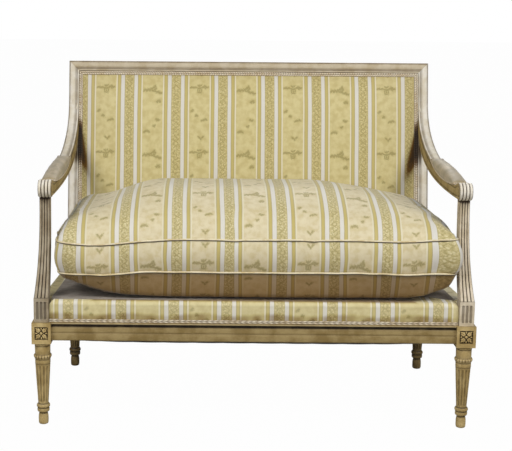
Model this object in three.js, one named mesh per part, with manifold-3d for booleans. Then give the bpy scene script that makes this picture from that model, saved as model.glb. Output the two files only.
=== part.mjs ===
import * as THREE from 'three';
import { mergeVertices } from 'three/addons/utils/BufferGeometryUtils.js';
import Module from 'manifold-3d';

// A two-seat settee in the Louis XVI style: a painted beech frame, a tight sprung seat
// and back, padded arms and one loose down-filled cushion.
// Millimetres. +X to the right seen from the front, +Y from front to back, +Z up.
// The pieces are drawn with Y = 0 on the axes of the front legs; the whole group is
// moved at the end so that the origin lies on the floor below the middle of the settee.

const wasm = await Module();
wasm.setup();

// Layout of the frame
const frontLegSpacing = 1148;
const rearLegSpacing = 1094;
const legRowDepth = 540;
const railTopHeight = 291;
const backHeight = 966;
const backRake = 128;
const clearance = 0.3;
const overrun = 6;

// Front and rear legs, turned below a square block
const frontBlockSide = 52;
const rearBlockSide = 46;
const blockHeight = 59;
const footRadius = 13;
const footHeight = 32;
const neckHeight = 3;
const ankleRadius = 17.8;
const ankleHeight = 25;
const shaftFootRadius = 14.2;
const shaftTopRadius = 20.5;
const bandHeight = 15;
const collarRadius = 24.2;
const collarHeight = 14;
const drumRadius = 21;
const drumHeight = 24;
const ringHeight = 8;
const turnedSides = 20;

// Seat rails, their moulding and their joints
const railHeight = 51;
const railThickness = 30;
const railSetback = 8;
const railBeadHeight = 6;
const railGrooveHeight = 4;
const railGrooveDepth = 3.5;
const tenonThickness = 10;
const tenonHeight = 32;
const crossTenonLength = 18;
const sideTenonLength = 14;
const pegRadius = 3.5;
const pegEndMargin = 8;
const pegSides = 8;
const cornerBlockReach = 64;
const cornerBlockThickness = 32;
const braceWidth = 30;
const braceHeight = 38;
const braceDrop = 6;
const braceTenonLength = 12;

// Back frame: a face that shows and a rebate each side for the cloth and its braid
const backFaceWidth = 32;
const backRebateWidth = 10;
const backThickness = 36;
const frontRebateDepth = 6;
const rearRebateDepth = 5;
const backRailGap = 14;
const backTenonLength = 18;
const backTenonHeight = 18;
const backTenonThickness = 10;
const mitreTenonLength = 24;

// Arm post on the front block
const postBaseSide = 40;
const postBaseHeight = 67;
const postTopSpacing = 1138;
const postTopSetback = 58;
const postTopWidth = 28;
const postTopDepth = 36;
const postDowelRadius = 6;
const postDowelLength = 22;
const postDowelOutward = 8;
const postDowelForward = 4;
const postTenonWidth = 14;
const postTenonDepth = 16;
const postTenonHeight = 18;
const postLevels = 9;
const postTaperPower = 2.6;
const dowelSides = 12;

// Arm: a knuckle in front, a bed for the pad, and a sweep up into the back stile
const armUndersideHeight = 626;
const armKnuckleRadius = 24;
const armKnuckleReach = 34;
const armFrontSpacing = 1132;
const armFrontWidth = 36;
const armBedStart = 88;
const armBedThickness = 36;
const armJoinRise = 209;
const armJoinDepth = 87;
const armSeatLength = 46;
const armTenonWidth = 12;
const armTenonHeight = 34;
const armTenonLength = 16;
const armTenonDrop = 12;
const armCurveSteps = 14;
const armKnuckleSteps = 10;

// Pad on the arm
const padLength = 308;
const padMargin = 1;
const padBulge = 10;
const padCrown = 20;
const padEdge = 4;
const padRings = 11;
const padArcSteps = 8;
const padSwellPower = 0.65;

// Seat: webbing under the rails, springs, canvas, stuffing, border, platform and braid
const deckRise = 61;
const deckSetback = 5;
const deckRoll = 10;
const deckSideMargin = 1;
const deckRearOverlap = 25;
const clothThickness = 1.5;
const webWidth = 50;
const webThickness = 2;
const webTack = 13;
const springColumns = 4;
const springRows = 3;
const springColumnShare = 0.2605;
const springRowShare = 0.2963;
const springEndRadius = 38;
const springWaistRadius = 27;
const springWireRadius = 1.9;
const springTurns = 4;
const springSteps = 8;
const springWireSides = 5;
const canvasDrop = 29;
const canvasSlope = 56;
const canvasMargin = 8;
const canvasTack = 18;
const braidHeight = 9;
const braidThickness = 2.2;
const dustClothSag = 9;
const sagPower = 4;

// Back upholstery
const backWebWidth = 50;
const backWebColumns = 6;
const backWebRows = 3;
const backCrown = 22;
const backEdge = 2;
const crownPowerAcross = 6;
const crownPowerAlong = 4;
const backBraidWidth = 11.4;
const backBraidThickness = 3;

// Loose cushion
const cushionHalfWidth = 551;
const cushionFrontReach = 20;
const cushionRearMargin = 3;
const cushionRise = 289;
const cushionLift = 0.5;
const lowerSeamRise = 73;
const upperSeamRise = 161;
const seamInset = 8;
const cushionCornerRadius = 78;
const cushionDrawIn = 5;
const cushionCoverThickness = 1.6;
const cushionSlitShare = 0.6;
const cushionSlitHeight = 5;
const pipingRadius = 3;
const pipingSides = 6;

// Sizes that follow from the ones above
const turnedHeight = railTopHeight - blockHeight;
const shaftBottom = footHeight + neckHeight + ankleHeight;
const shaftTop = turnedHeight - ringHeight - drumHeight - collarHeight - bandHeight;
const railFootHeight = railTopHeight - railHeight;
const frontLegX = frontLegSpacing / 2;
const rearLegX = rearLegSpacing / 2;
const railHalf = railThickness / 2;
const frontRailY = -frontBlockSide / 2 + railSetback + railHalf;
const rearRailY = legRowDepth + rearBlockSide / 2 - railSetback - railHalf;
const railMiddleHeight = railTopHeight - railHeight / 2;
const deckHeight = railTopHeight + deckRise;
const backRailLift = deckRise + backRailGap;
const backMemberWidth = backFaceWidth + backRebateWidth;
const stileOuterX = rearLegX + backMemberWidth / 2;
const stileInnerX = stileOuterX - backMemberWidth;
const rakeAngle = Math.atan2(backRake, backHeight - railTopHeight);
const stileRise = backHeight - railTopHeight - backThickness / 2 * Math.sin(rakeAngle);
const stileLength = stileRise / Math.cos(rakeAngle);
const backMatrix = new THREE.Matrix4().makeRotationX(-rakeAngle);
backMatrix.setPosition(0, legRowDepth, railTopHeight);
const armRearX = stileOuterX - backFaceWidth / 2;
const armKnuckleHeight = armUndersideHeight + armKnuckleRadius;
const armJoinTopHeight = armUndersideHeight + armJoinRise;
const armJoinFootHeight = armJoinTopHeight - armJoinDepth;
const deckFoot = railTopHeight + clearance;
const webTop = railFootHeight - clearance;
const webFoot = webTop - webThickness;
const canvasTop = deckHeight - canvasDrop;
const panelFoot = backRailLift + backFaceWidth;
const panelTop = stileLength - backFaceWidth;
const panelHalfWidth = stileOuterX - backFaceWidth;
const rebateFloor = -backThickness / 2 + frontRebateDepth;
const cushionRearReach = legRowDepth - cushionRearMargin;
const cushionTopHeight = deckHeight + cushionRise;
const lowerSeamHeight = deckHeight + lowerSeamRise;
const upperSeamHeight = deckHeight + upperSeamRise;

const paint = { color: 0xcfc5b0, roughness: 0.55 };
const glazedPaint = { color: 0xa89a70, roughness: 0.6 };
const bareBeech = { color: 0xb99a6b, roughness: 0.75 };
const silk = { color: 0xd9c98f, roughness: 0.5 };
const padSilk = { color: 0xa3957a, roughness: 0.6 };
const braidYarn = { color: 0xd8c6a6, roughness: 0.8 };
const jute = { color: 0x9b7d4f, roughness: 0.95 };
const hair = { color: 0x6b5a45, roughness: 1 };
const cotton = { color: 0x958c82, roughness: 0.9 };
const cambric = { color: 0x2c2925, roughness: 0.95 };
const down = { color: 0xe9e4d8, roughness: 0.95 };
const springSteel = { color: 0x8d6f4a, roughness: 0.45, metalness: 0.8 };

// Turns the faces of an indexed body outward when they point in.
function facingOut(positions, triangles) {
  let volume = 0;
  const a = new THREE.Vector3();
  const b = new THREE.Vector3();
  const c = new THREE.Vector3();
  for (let i = 0; i < triangles.length; i += 3) {
    a.fromArray(positions, triangles[i] * 3);
    b.fromArray(positions, triangles[i + 1] * 3);
    c.fromArray(positions, triangles[i + 2] * 3);
    volume += a.dot(b.cross(c));
  }
  if (volume < 0) {
    triangles.reverse();
  }
  const geometry = new THREE.BufferGeometry();
  geometry.setAttribute('position', new THREE.Float32BufferAttribute(positions, 3));
  geometry.setIndex(triangles);
  return geometry;
}

// The triangles that close a flat ring, running the way the ring runs.
function capTriangles(ring) {
  const origin = ring[0];
  const normal = new THREE.Vector3();
  for (let i = 1; i + 1 < ring.length; i++) {
    const first = ring[i].clone().sub(origin);
    const second = ring[i + 1].clone().sub(origin);
    normal.add(first.cross(second));
  }
  normal.normalize();
  const across = ring[1].clone().sub(origin).normalize();
  const up = normal.clone().cross(across);
  const flat = ring.map((p) => {
    const away = p.clone().sub(origin);
    return new THREE.Vector2(away.dot(across), away.dot(up));
  });
  const faces = THREE.ShapeUtils.triangulateShape(flat, []);
  return faces.map(([i, j, k]) => {
    const turn = flat[j].clone().sub(flat[i]).cross(flat[k].clone().sub(flat[i]));
    return turn > 0 ? [i, j, k] : [i, k, j];
  });
}

// A closed body carried through rings of equal point counts. A loop runs from the last
// ring back to the first; otherwise both ends are capped flat.
function loft(rings, isLoop = false) {
  const count = rings[0].length;
  const positions = rings.flatMap((ring) => ring.flatMap((p) => p.toArray()));
  const triangles = [];
  const spans = isLoop ? rings.length : rings.length - 1;
  for (let level = 0; level < spans; level++) {
    const above = (level + 1) % rings.length;
    for (let i = 0; i < count; i++) {
      const next = (i + 1) % count;
      const a = level * count + i;
      const b = level * count + next;
      const c = above * count + i;
      const d = above * count + next;
      triangles.push(a, b, d, a, d, c);
    }
  }
  if (!isLoop) {
    const lastStart = (rings.length - 1) * count;
    for (const [i, j, k] of capTriangles(rings[0])) {
      triangles.push(i, k, j);
    }
    for (const [i, j, k] of capTriangles(rings[rings.length - 1])) {
      triangles.push(lastStart + i, lastStart + j, lastStart + k);
    }
  }
  return facingOut(positions, triangles);
}

function box(xs, ys, zs) {
  const geometry = new THREE.BoxGeometry(xs[1] - xs[0], ys[1] - ys[0], zs[1] - zs[0]);
  geometry.translate((xs[0] + xs[1]) / 2, (ys[0] + ys[1]) / 2, (zs[0] + zs[1]) / 2);
  return geometry;
}

function spread(middle, width) {
  return [middle - width / 2, middle + width / 2];
}

function grown(range, margin) {
  return [range[0] - margin, range[1] + margin];
}

function toSolid(geometry) {
  const bare = geometry.clone();
  bare.deleteAttribute('normal');
  bare.deleteAttribute('uv');
  const merged = mergeVertices(bare);
  const triVerts = new Uint32Array(merged.index.array);
  const vertProperties = new Float32Array(merged.attributes.position.array);
  return new wasm.Manifold(new wasm.Mesh({ numProp: 3, vertProperties, triVerts }));
}

function toGeometry(solid) {
  const mesh = solid.getMesh();
  const geometry = new THREE.BufferGeometry();
  const attribute = new THREE.Float32BufferAttribute(mesh.vertProperties, mesh.numProp);
  geometry.setAttribute('position', attribute);
  geometry.setIndex(Array.from(mesh.triVerts));
  return geometry;
}

function joined(geometries) {
  const [first, ...others] = geometries.map(toSolid);
  return toGeometry(others.reduce((whole, piece) => whole.add(piece), first));
}

function cut(geometry, cutters) {
  const whole = toSolid(geometry);
  return toGeometry(cutters.map(toSolid).reduce((left, piece) => left.subtract(piece), whole));
}

function mirrored(geometry) {
  const positions = Array.from(geometry.attributes.position.array);
  for (let i = 0; i < positions.length; i += 3) {
    positions[i] = -positions[i];
  }
  return facingOut(positions, Array.from(geometry.index.array));
}

function cylinder(radius, length, sides) {
  return new THREE.CylinderGeometry(radius, radius, length, sides);
}

// The middle line of the side, which narrows from the front legs to the rear legs.
function sideX(y) {
  return frontLegX + (rearLegX - frontLegX) * y / legRowDepth;
}

// Turned leg from the floor to the block. Each row is a radius and a height.
function turnedLeg() {
  const tipShare = 0.7;
  const footWaistShare = 0.86;
  const ringFallShare = 0.2;
  const collarFallShare = 0.22;
  const footTurnShare = 0.15;
  const ankleBottom = footHeight + neckHeight;
  const bandTop = shaftTop + bandHeight;
  const collarTop = bandTop + collarHeight;
  const drumTop = collarTop + drumHeight;
  const ankleFall = ankleHeight * collarFallShare;
  const collarFall = collarHeight * collarFallShare;
  const ringFall = ringHeight * ringFallShare;
  const rows = [
    [0, 0],
    [footRadius * tipShare, 0],
    [footRadius, footHeight * footTurnShare],
    [footRadius, footHeight / 2],
    [footRadius * footWaistShare, footHeight],
    [footRadius * footWaistShare, ankleBottom],
    [ankleRadius, ankleBottom + ankleFall],
    [ankleRadius, shaftBottom - ankleFall],
    [shaftFootRadius, shaftBottom],
    [shaftTopRadius, shaftTop],
    [shaftTopRadius, bandTop],
    [collarRadius, bandTop + collarFall],
    [collarRadius, collarTop - collarFall],
    [drumRadius, collarTop],
    [drumRadius, drumTop],
    [drumRadius * footWaistShare, drumTop + ringFall],
    [drumRadius, drumTop + ringFall + ringFall],
    [drumRadius, turnedHeight + overrun],
    [0, turnedHeight + overrun],
  ];
  const profile = rows.map(([radius, height]) => new THREE.Vector2(radius, height));
  const geometry = new THREE.LatheGeometry(profile, turnedSides);
  geometry.rotateX(Math.PI / 2);
  return geometry;
}

function legWithBlock(x, y, side) {
  const leg = turnedLeg();
  leg.translate(x, y, 0);
  const block = box(spread(x, side), spread(y, side), [turnedHeight, railTopHeight]);
  return joined([leg, block]);
}

const tenonHeights = spread(railMiddleHeight, tenonHeight);
const frontTenonStart = frontLegX - frontBlockSide / 2;
const rearTenonStart = rearLegX - rearBlockSide / 2;
const sideTenonFront = frontBlockSide / 2;
const sideTenonRear = legRowDepth - rearBlockSide / 2;

// Tenons as boxes, shared by the rail that has them and the block that takes them.
function frontTenon(margin) {
  const xs = [frontTenonStart - overrun, frontTenonStart + crossTenonLength + margin];
  const ys = grown(spread(frontRailY, tenonThickness), margin);
  return box(xs, ys, grown(tenonHeights, margin));
}

function backTenon(margin) {
  const xs = [rearTenonStart - overrun, rearTenonStart + crossTenonLength + margin];
  const ys = grown(spread(rearRailY, tenonThickness), margin);
  return box(xs, ys, grown(tenonHeights, margin));
}

function sideFrontTenon(margin) {
  const ys = [sideTenonFront - sideTenonLength - margin, sideTenonFront + overrun];
  const xs = grown(spread(frontLegX, tenonThickness), margin);
  return box(xs, ys, grown(tenonHeights, margin));
}

function sideRearTenon(margin) {
  const ys = [sideTenonRear - overrun, sideTenonRear + sideTenonLength + margin];
  const xs = grown(spread(rearLegX, tenonThickness), margin);
  return box(xs, ys, grown(tenonHeights, margin));
}

// Wooden pegs that lock the tenons. Each has a range along its axis and the places of
// that axis; the lower ones run front to back, the upper ones from side to side.
const lowPegHeight = railMiddleHeight - tenonHeight / 4;
const highPegHeight = railMiddleHeight + tenonHeight / 4;
const pegs = {
  front_rail: {
    isAcross: false,
    at: frontTenonStart + crossTenonLength / 2,
    range: [-frontBlockSide / 2 + pegEndMargin, frontBlockSide / 2],
    height: lowPegHeight,
  },
  side_rail_front: {
    isAcross: true,
    at: sideTenonFront - sideTenonLength / 2,
    range: [frontTenonStart, frontLegX + frontBlockSide / 2 - pegEndMargin],
    height: highPegHeight,
  },
  back_rail: {
    isAcross: false,
    at: rearTenonStart + crossTenonLength / 2,
    range: [sideTenonRear + pegEndMargin, legRowDepth + rearBlockSide / 2],
    height: lowPegHeight,
  },
  side_rail_rear: {
    isAcross: true,
    at: sideTenonRear + sideTenonLength / 2,
    range: [rearTenonStart, rearLegX + rearBlockSide / 2 - pegEndMargin],
    height: highPegHeight,
  },
};

function pegSolid(peg, margin) {
  const geometry = cylinder(pegRadius + margin, peg.range[1] - peg.range[0] + margin * 2, pegSides);
  const middle = (peg.range[0] + peg.range[1]) / 2;
  if (peg.isAcross) {
    geometry.rotateZ(Math.PI / 2);
    geometry.translate(middle, peg.at, peg.height);
  } else {
    geometry.translate(peg.at, middle, peg.height);
  }
  return geometry;
}

// Round tenon under the arm post.
function postDowel(margin) {
  const length = postDowelLength + margin + overrun;
  const geometry = cylinder(postDowelRadius + margin, length, dowelSides);
  geometry.rotateX(Math.PI / 2);
  const top = railTopHeight + overrun;
  geometry.translate(frontLegX + postDowelOutward, -postDowelForward, top - length / 2);
  return geometry;
}

function frontLeg() {
  const cutters = [
    frontTenon(clearance),
    sideFrontTenon(clearance),
    pegSolid(pegs.front_rail, clearance),
    pegSolid(pegs.side_rail_front, clearance),
    postDowel(clearance),
  ];
  return cut(legWithBlock(frontLegX, 0, frontBlockSide), cutters);
}

// Section of a back member: how far in from its outer edge, and how far back.
function backSection() {
  const front = -backThickness / 2;
  const rear = backThickness / 2;
  return [
    [0, front],
    [backFaceWidth, front],
    [backFaceWidth, front + frontRebateDepth],
    [backMemberWidth, front + frontRebateDepth],
    [backMemberWidth, rear - rearRebateDepth],
    [backFaceWidth, rear - rearRebateDepth],
    [backFaceWidth, rear],
    [0, rear],
  ];
}

// Right stile in the plane of the back, mitred at the top corner.
function stile() {
  const foot = backSection().map(([inward, y]) => new THREE.Vector3(stileOuterX - inward, y, -overrun));
  const head = backSection().map(([inward, y]) => {
    return new THREE.Vector3(stileOuterX - inward, y, stileLength - inward);
  });
  return loft([foot, head]);
}

// Tenon of the top rail in the mitre, and of the lower back rail.
function topTenon(margin) {
  const zs = grown(spread(stileLength - backMemberWidth / 2, backTenonHeight), margin);
  const xs = [stileInnerX - overrun, stileInnerX + mitreTenonLength + margin];
  return box(xs, grown(spread(0, backTenonThickness), margin), zs);
}

function lowerTenon(margin) {
  const zs = grown(spread(backRailLift + backMemberWidth / 2, backTenonHeight), margin);
  const xs = [stileInnerX - overrun, stileInnerX + backTenonLength + margin];
  return box(xs, grown(spread(0, backTenonThickness), margin), zs);
}

// Height along the stile of a point on its front face at a given height from the floor.
function alongStile(height) {
  const rise = height - railTopHeight - backThickness / 2 * Math.sin(rakeAngle);
  return rise / Math.cos(rakeAngle);
}

function stileFront(height) {
  const along = alongStile(height);
  return legRowDepth + along * Math.sin(rakeAngle) - backThickness / 2 * Math.cos(rakeAngle);
}

// Tenon of the arm in the front face of the stile.
function armTenon(margin) {
  const middle = alongStile((armJoinTopHeight + armJoinFootHeight) / 2 - armTenonDrop);
  const front = -backThickness / 2;
  const xs = grown(spread(armRearX, armTenonWidth), margin);
  const ys = [front - overrun, front + armTenonLength + margin];
  return box(xs, ys, grown(spread(middle, armTenonHeight), margin)).applyMatrix4(backMatrix);
}

function rearPost() {
  const leg = legWithBlock(rearLegX, legRowDepth, rearBlockSide);
  const raked = cut(stile(), [topTenon(clearance), lowerTenon(clearance)]);
  const whole = joined([leg, raked.applyMatrix4(backMatrix)]);
  const cutters = [
    backTenon(clearance),
    sideRearTenon(clearance),
    pegSolid(pegs.back_rail, clearance),
    pegSolid(pegs.side_rail_rear, clearance),
    armTenon(clearance),
  ];
  return cut(whole, cutters);
}

function backTopRail() {
  const mitreGap = clearance * Math.SQRT2;
  const ring = (side) => backSection().map(([inward, y]) => {
    return new THREE.Vector3(side * (stileOuterX - inward - mitreGap), y, stileLength - inward);
  });
  return joined([loft([ring(-1), ring(1)]), topTenon(0), mirrored(topTenon(0))]);
}

function backBottomRail() {
  const end = stileInnerX - clearance;
  const ring = (x) => backSection().map(([inward, y]) => new THREE.Vector3(x, y, backRailLift + inward));
  return joined([loft([ring(-end), ring(end)]), lowerTenon(0), mirrored(lowerTenon(0))]);
}

// Section of a seat rail: how far out from its middle, and the height.
function railSection() {
  const grooveTop = railTopHeight - railBeadHeight;
  const grooveFoot = grooveTop - railGrooveHeight;
  const grooveFloor = railHalf - railGrooveDepth;
  return [
    [-railHalf, railFootHeight],
    [railHalf, railFootHeight],
    [railHalf, grooveFoot],
    [grooveFloor, grooveFoot],
    [grooveFloor, grooveTop],
    [railHalf, grooveTop],
    [railHalf, railTopHeight],
    [-railHalf, railTopHeight],
  ];
}

function braceTenon(y, margin) {
  const ys = grown(spread(y, braceTenonLength * 2), margin);
  const xs = grown(spread(0, braceWidth / 2), margin);
  return box(xs, ys, grown(spread(railTopHeight - braceDrop - braceHeight / 2, braceHeight / 2), margin));
}

const frontRailInside = frontRailY + railHalf;
const rearRailInside = rearRailY - railHalf;
const springColumnPitch = rearLegSpacing * springColumnShare;
const springRowPitch = (rearRailInside - frontRailInside) * springRowShare;

function seatRailFront() {
  const end = frontTenonStart - clearance;
  const ring = (x) => railSection().map(([out, z]) => new THREE.Vector3(x, frontRailY - out, z));
  const whole = joined([loft([ring(-end), ring(end)]), frontTenon(0), mirrored(frontTenon(0))]);
  const holes = [
    pegSolid(pegs.front_rail, clearance),
    mirrored(pegSolid(pegs.front_rail, clearance)),
    braceTenon(frontRailInside, clearance),
  ];
  return cut(whole, holes);
}

function seatRailBack() {
  const end = rearTenonStart - clearance;
  const ring = (x) => railSection().map(([out, z]) => new THREE.Vector3(x, rearRailY + out, z));
  const whole = joined([loft([ring(-end), ring(end)]), backTenon(0), mirrored(backTenon(0))]);
  const holes = [
    pegSolid(pegs.back_rail, clearance),
    mirrored(pegSolid(pegs.back_rail, clearance)),
    braceTenon(rearRailInside, clearance),
  ];
  return cut(whole, holes);
}

// The middle of a side rail lies a little outside the line of the legs.
const sideRailOut = frontBlockSide / 2 - railSetback - railHalf;

function seatRailSide() {
  const ring = (y) => railSection().map(([out, z]) => {
    return new THREE.Vector3(sideX(y) + sideRailOut + out, y, z);
  });
  const ends = [ring(sideTenonFront + clearance), ring(sideTenonRear - clearance)];
  const whole = joined([loft(ends), sideFrontTenon(0), sideRearTenon(0)]);
  const holes = [pegSolid(pegs.side_rail_front, clearance), pegSolid(pegs.side_rail_rear, clearance)];
  return cut(whole, holes);
}

function seatCrossRail() {
  const top = railTopHeight - braceDrop;
  const ys = [frontRailInside + clearance, rearRailInside - clearance];
  const bar = box(spread(0, braceWidth), ys, [top - braceHeight, top]);
  return joined([bar, braceTenon(frontRailInside, 0), braceTenon(rearRailInside, 0)]);
}

// Glued block in a corner of the seat frame, notched round the block of the leg.
function cornerBlock(isFront) {
  const towards = isFront ? 1 : -1;
  const legX = isFront ? frontLegX : rearLegX;
  const legY = isFront ? 0 : legRowDepth;
  const half = (isFront ? frontBlockSide : rearBlockSide) / 2 + clearance;
  const railInside = isFront ? frontRailInside : rearRailInside;
  const railFace = railInside + towards * clearance;
  const blockFace = legY + towards * half;
  const tip = legY + towards * (half + cornerBlockReach);
  const sideFace = (y) => sideX(y) + sideRailOut - railHalf - clearance;
  const outline = [
    [legX - half - cornerBlockReach, railFace],
    [legX - half, railFace],
    [legX - half, blockFace],
    [sideFace(blockFace), blockFace],
    [sideFace(tip), tip],
  ];
  const top = railTopHeight - braceDrop;
  const ring = (z) => outline.map(([x, y]) => new THREE.Vector3(x, y, z));
  return loft([ring(top - cornerBlockThickness), ring(top)]);
}

function armPost() {
  const baseFoot = railTopHeight + clearance;
  const baseTop = railTopHeight + postBaseHeight;
  const top = armUndersideHeight - clearance;
  const topX = postTopSpacing / 2;
  const ringAt = (x, y, width, depth, z) => [
    new THREE.Vector3(x - width / 2, y - depth / 2, z),
    new THREE.Vector3(x + width / 2, y - depth / 2, z),
    new THREE.Vector3(x + width / 2, y + depth / 2, z),
    new THREE.Vector3(x - width / 2, y + depth / 2, z),
  ];
  const rings = [ringAt(frontLegX, 0, postBaseSide, postBaseSide, baseFoot)];
  for (let i = 0; i <= postLevels; i++) {
    const rise = i / postLevels;
    const taper = Math.pow(1 - rise, postTaperPower);
    const sweep = (1 - Math.cos(Math.PI * Math.sqrt(rise))) / 2;
    const x = topX + (frontLegX - topX) * taper;
    const width = postTopWidth + (postBaseSide - postTopWidth) * taper;
    const depth = postTopDepth + (postBaseSide - postTopDepth) * taper;
    rings.push(ringAt(x, postTopSetback * sweep, width, depth, baseTop + (top - baseTop) * rise));
  }
  const tenonRange = [armUndersideHeight - overrun, armUndersideHeight + postTenonHeight];
  const tenon = postTenon(tenonRange, 0);
  return joined([loft(rings), postDowel(0), tenon]);
}

function postTenon(heights, margin) {
  const xs = grown(spread(postTopSpacing / 2, postTenonWidth), margin);
  const ys = grown(spread(postTopSetback, postTenonDepth), margin);
  return box(xs, ys, grown(heights, margin));
}

// The upper edge of the arm from the front of the pad to the stile, seen from the side.
function armTopCurve() {
  const bedRunShare = 0.45;
  const sweepFallShare = 0.65;
  const bed = armUndersideHeight + armBedThickness;
  const join = new THREE.Vector2(stileFront(armJoinTopHeight), armJoinTopHeight);
  const start = new THREE.Vector2(armBedStart, bed);
  const run = (join.x - start.x) * bedRunShare;
  const fall = (armJoinTopHeight - armUndersideHeight) * sweepFallShare;
  const first = new THREE.Vector2(start.x + run, bed + padEdge);
  const second = new THREE.Vector2(join.x - fall * Math.tan(rakeAngle), join.y - fall);
  return new THREE.CubicBezierCurve(start, first, second, join);
}

function armUnderCurve() {
  const startShare = 0.5;
  const endShare = 0.9;
  const riseShare = 0.18;
  const start = new THREE.Vector2(armKnuckleReach + armSeatLength, armUndersideHeight);
  const join = new THREE.Vector2(stileFront(armJoinFootHeight), armJoinFootHeight);
  const run = join.x - start.x;
  const rise = join.y - start.y;
  const first = new THREE.Vector2(start.x + run * startShare, start.y);
  const second = new THREE.Vector2(start.x + run * endShare, start.y + rise * riseShare);
  return new THREE.CubicBezierCurve(start, first, second, join);
}

// Outline of the arm from the side: underside, end on the stile, top and knuckle.
function armOutline() {
  const under = armUnderCurve().getPoints(armCurveSteps);
  const top = armTopCurve().getPoints(armCurveSteps).reverse();
  const knuckle = [];
  for (let i = 0; i <= armKnuckleSteps; i++) {
    const angle = Math.PI / 2 + Math.PI * i / armKnuckleSteps;
    const y = armKnuckleReach + armKnuckleRadius * Math.cos(angle);
    const z = armKnuckleHeight + armKnuckleRadius * Math.sin(angle);
    knuckle.push(new THREE.Vector2(y, z));
  }
  return [...under, ...top, ...knuckle];
}

function armMiddle(y) {
  const share = y / stileFront(armJoinTopHeight);
  return armFrontSpacing / 2 + (armRearX - armFrontSpacing / 2) * share;
}

function armWidth(y) {
  const share = y / stileFront(armJoinTopHeight);
  return armFrontWidth + (backFaceWidth - armFrontWidth) * share;
}

function arm() {
  const outline = armOutline();
  const ring = (side) => outline.map((p) => {
    return new THREE.Vector3(armMiddle(p.x) + side * armWidth(p.x) / 2, p.x, p.y);
  });
  const whole = loft([ring(-1), ring(1)]);
  const behind = -backThickness / 2 - clearance;
  const far = backHeight / 2;
  const beyond = box(spread(armRearX, far), [behind, behind + far], [0, stileLength]);
  const trimmed = cut(whole, [beyond.applyMatrix4(backMatrix)]);
  const mortise = [armUndersideHeight - overrun, armUndersideHeight + postTenonHeight];
  return cut(joined([trimmed, armTenon(0)]), [postTenon(mortise, clearance)]);
}

// Padded manchette on the arm, swelling in the middle and narrow at both ends.
function armPad() {
  const curve = armTopCurve();
  const lengthShare = padLength / curve.getLength();
  const rings = [];
  for (let i = 0; i <= padRings; i++) {
    const along = i / padRings;
    const place = curve.getPointAt(along * lengthShare);
    const slope = curve.getTangentAt(along * lengthShare);
    const swell = Math.pow(Math.sin(Math.PI * along), padSwellPower);
    const half = (armWidth(place.x) - padMargin + padBulge * swell) / 2;
    const crown = padEdge + padCrown * swell;
    const ring = [];
    for (let j = 0; j <= padArcSteps; j++) {
      const angle = Math.PI * j / padArcSteps;
      const out = half * Math.cos(angle);
      const lift = clearance + crown * Math.pow(Math.sin(angle), padSwellPower);
      const y = place.x - slope.y * lift;
      const z = place.y + slope.x * lift;
      ring.push(new THREE.Vector3(armMiddle(place.x) + out, y, z));
    }
    rings.push(ring);
  }
  return loft(rings);
}

// Plan of the seat upholstery: it fits round the arm posts and the stiles.
function deckOutline() {
  const front = frontRailY - railHalf + deckSetback;
  const postInner = frontLegX - postBaseSide / 2 - deckSideMargin;
  const postRear = postBaseSide / 2 + deckSideMargin;
  const stileFace = legRowDepth - rearBlockSide / 2 - deckSideMargin;
  const stileInside = stileInnerX - deckSideMargin;
  const rear = rearRailInside + deckRearOverlap;
  const side = (y) => sideX(y) + sideRailOut + railHalf - deckSetback;
  const half = [
    [postInner, front],
    [postInner, postRear],
    [side(postRear), postRear],
    [side(stileFace), stileFace],
    [stileInside, stileFace],
    [stileInside, rear],
  ];
  const other = half.map(([x, y]) => [-x, y]).reverse();
  return [...half, ...other];
}

// The same outline with every edge moved inwards by one distance.
function insetOutline(points, distance) {
  const count = points.length;
  const edges = points.map(([x, y], i) => {
    const [nextX, nextY] = points[(i + 1) % count];
    const length = Math.hypot(nextX - x, nextY - y);
    const normal = [(y - nextY) / length, (nextX - x) / length];
    const offset = normal[0] * x + normal[1] * y + distance;
    return [...normal, offset];
  });
  return edges.map(([a, b, c], i) => {
    const [d, e, f] = edges[(i + count - 1) % count];
    const scale = a * e - b * d;
    return [(c * e - b * f) / scale, (a * f - c * d) / scale];
  });
}

function deckRing(inset, height) {
  return insetOutline(deckOutline(), inset).map(([x, y]) => new THREE.Vector3(x, y, height));
}

const rollStartShare = 0.3;
const rollFallShare = 0.4;

// Striped border round the seat, rolled over at its upper edge.
function seatBorder() {
  const inner = clothThickness;
  const rings = [
    deckRing(0, deckFoot),
    deckRing(0, deckHeight - deckRoll),
    deckRing(deckRoll * rollStartShare, deckHeight - deckRoll * rollFallShare),
    deckRing(deckRoll, deckHeight),
    deckRing(deckRoll, deckHeight - inner),
    deckRing(deckRoll * rollStartShare + inner, deckHeight - deckRoll * rollFallShare - inner),
    deckRing(inner, deckHeight - deckRoll - inner),
    deckRing(inner, deckFoot),
  ];
  return loft(rings, true);
}

function platformCloth() {
  const edge = deckRoll + clearance;
  return loft([deckRing(edge, deckHeight - clothThickness), deckRing(edge, deckHeight)]);
}

function seatStuffing() {
  const skin = clothThickness + clearance;
  const rolled = deckHeight - deckRoll * rollFallShare - skin;
  const rings = [
    deckRing(skin, deckFoot),
    deckRing(skin, deckHeight - deckRoll - skin),
    deckRing(deckRoll * rollStartShare + skin, rolled - clearance),
    deckRing(deckRoll + skin, deckHeight - skin),
  ];
  const hollow = loft(canvasRings(clearance, railTopHeight - overrun, canvasTop + clearance));
  return cut(loft(rings), [hollow]);
}

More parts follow.
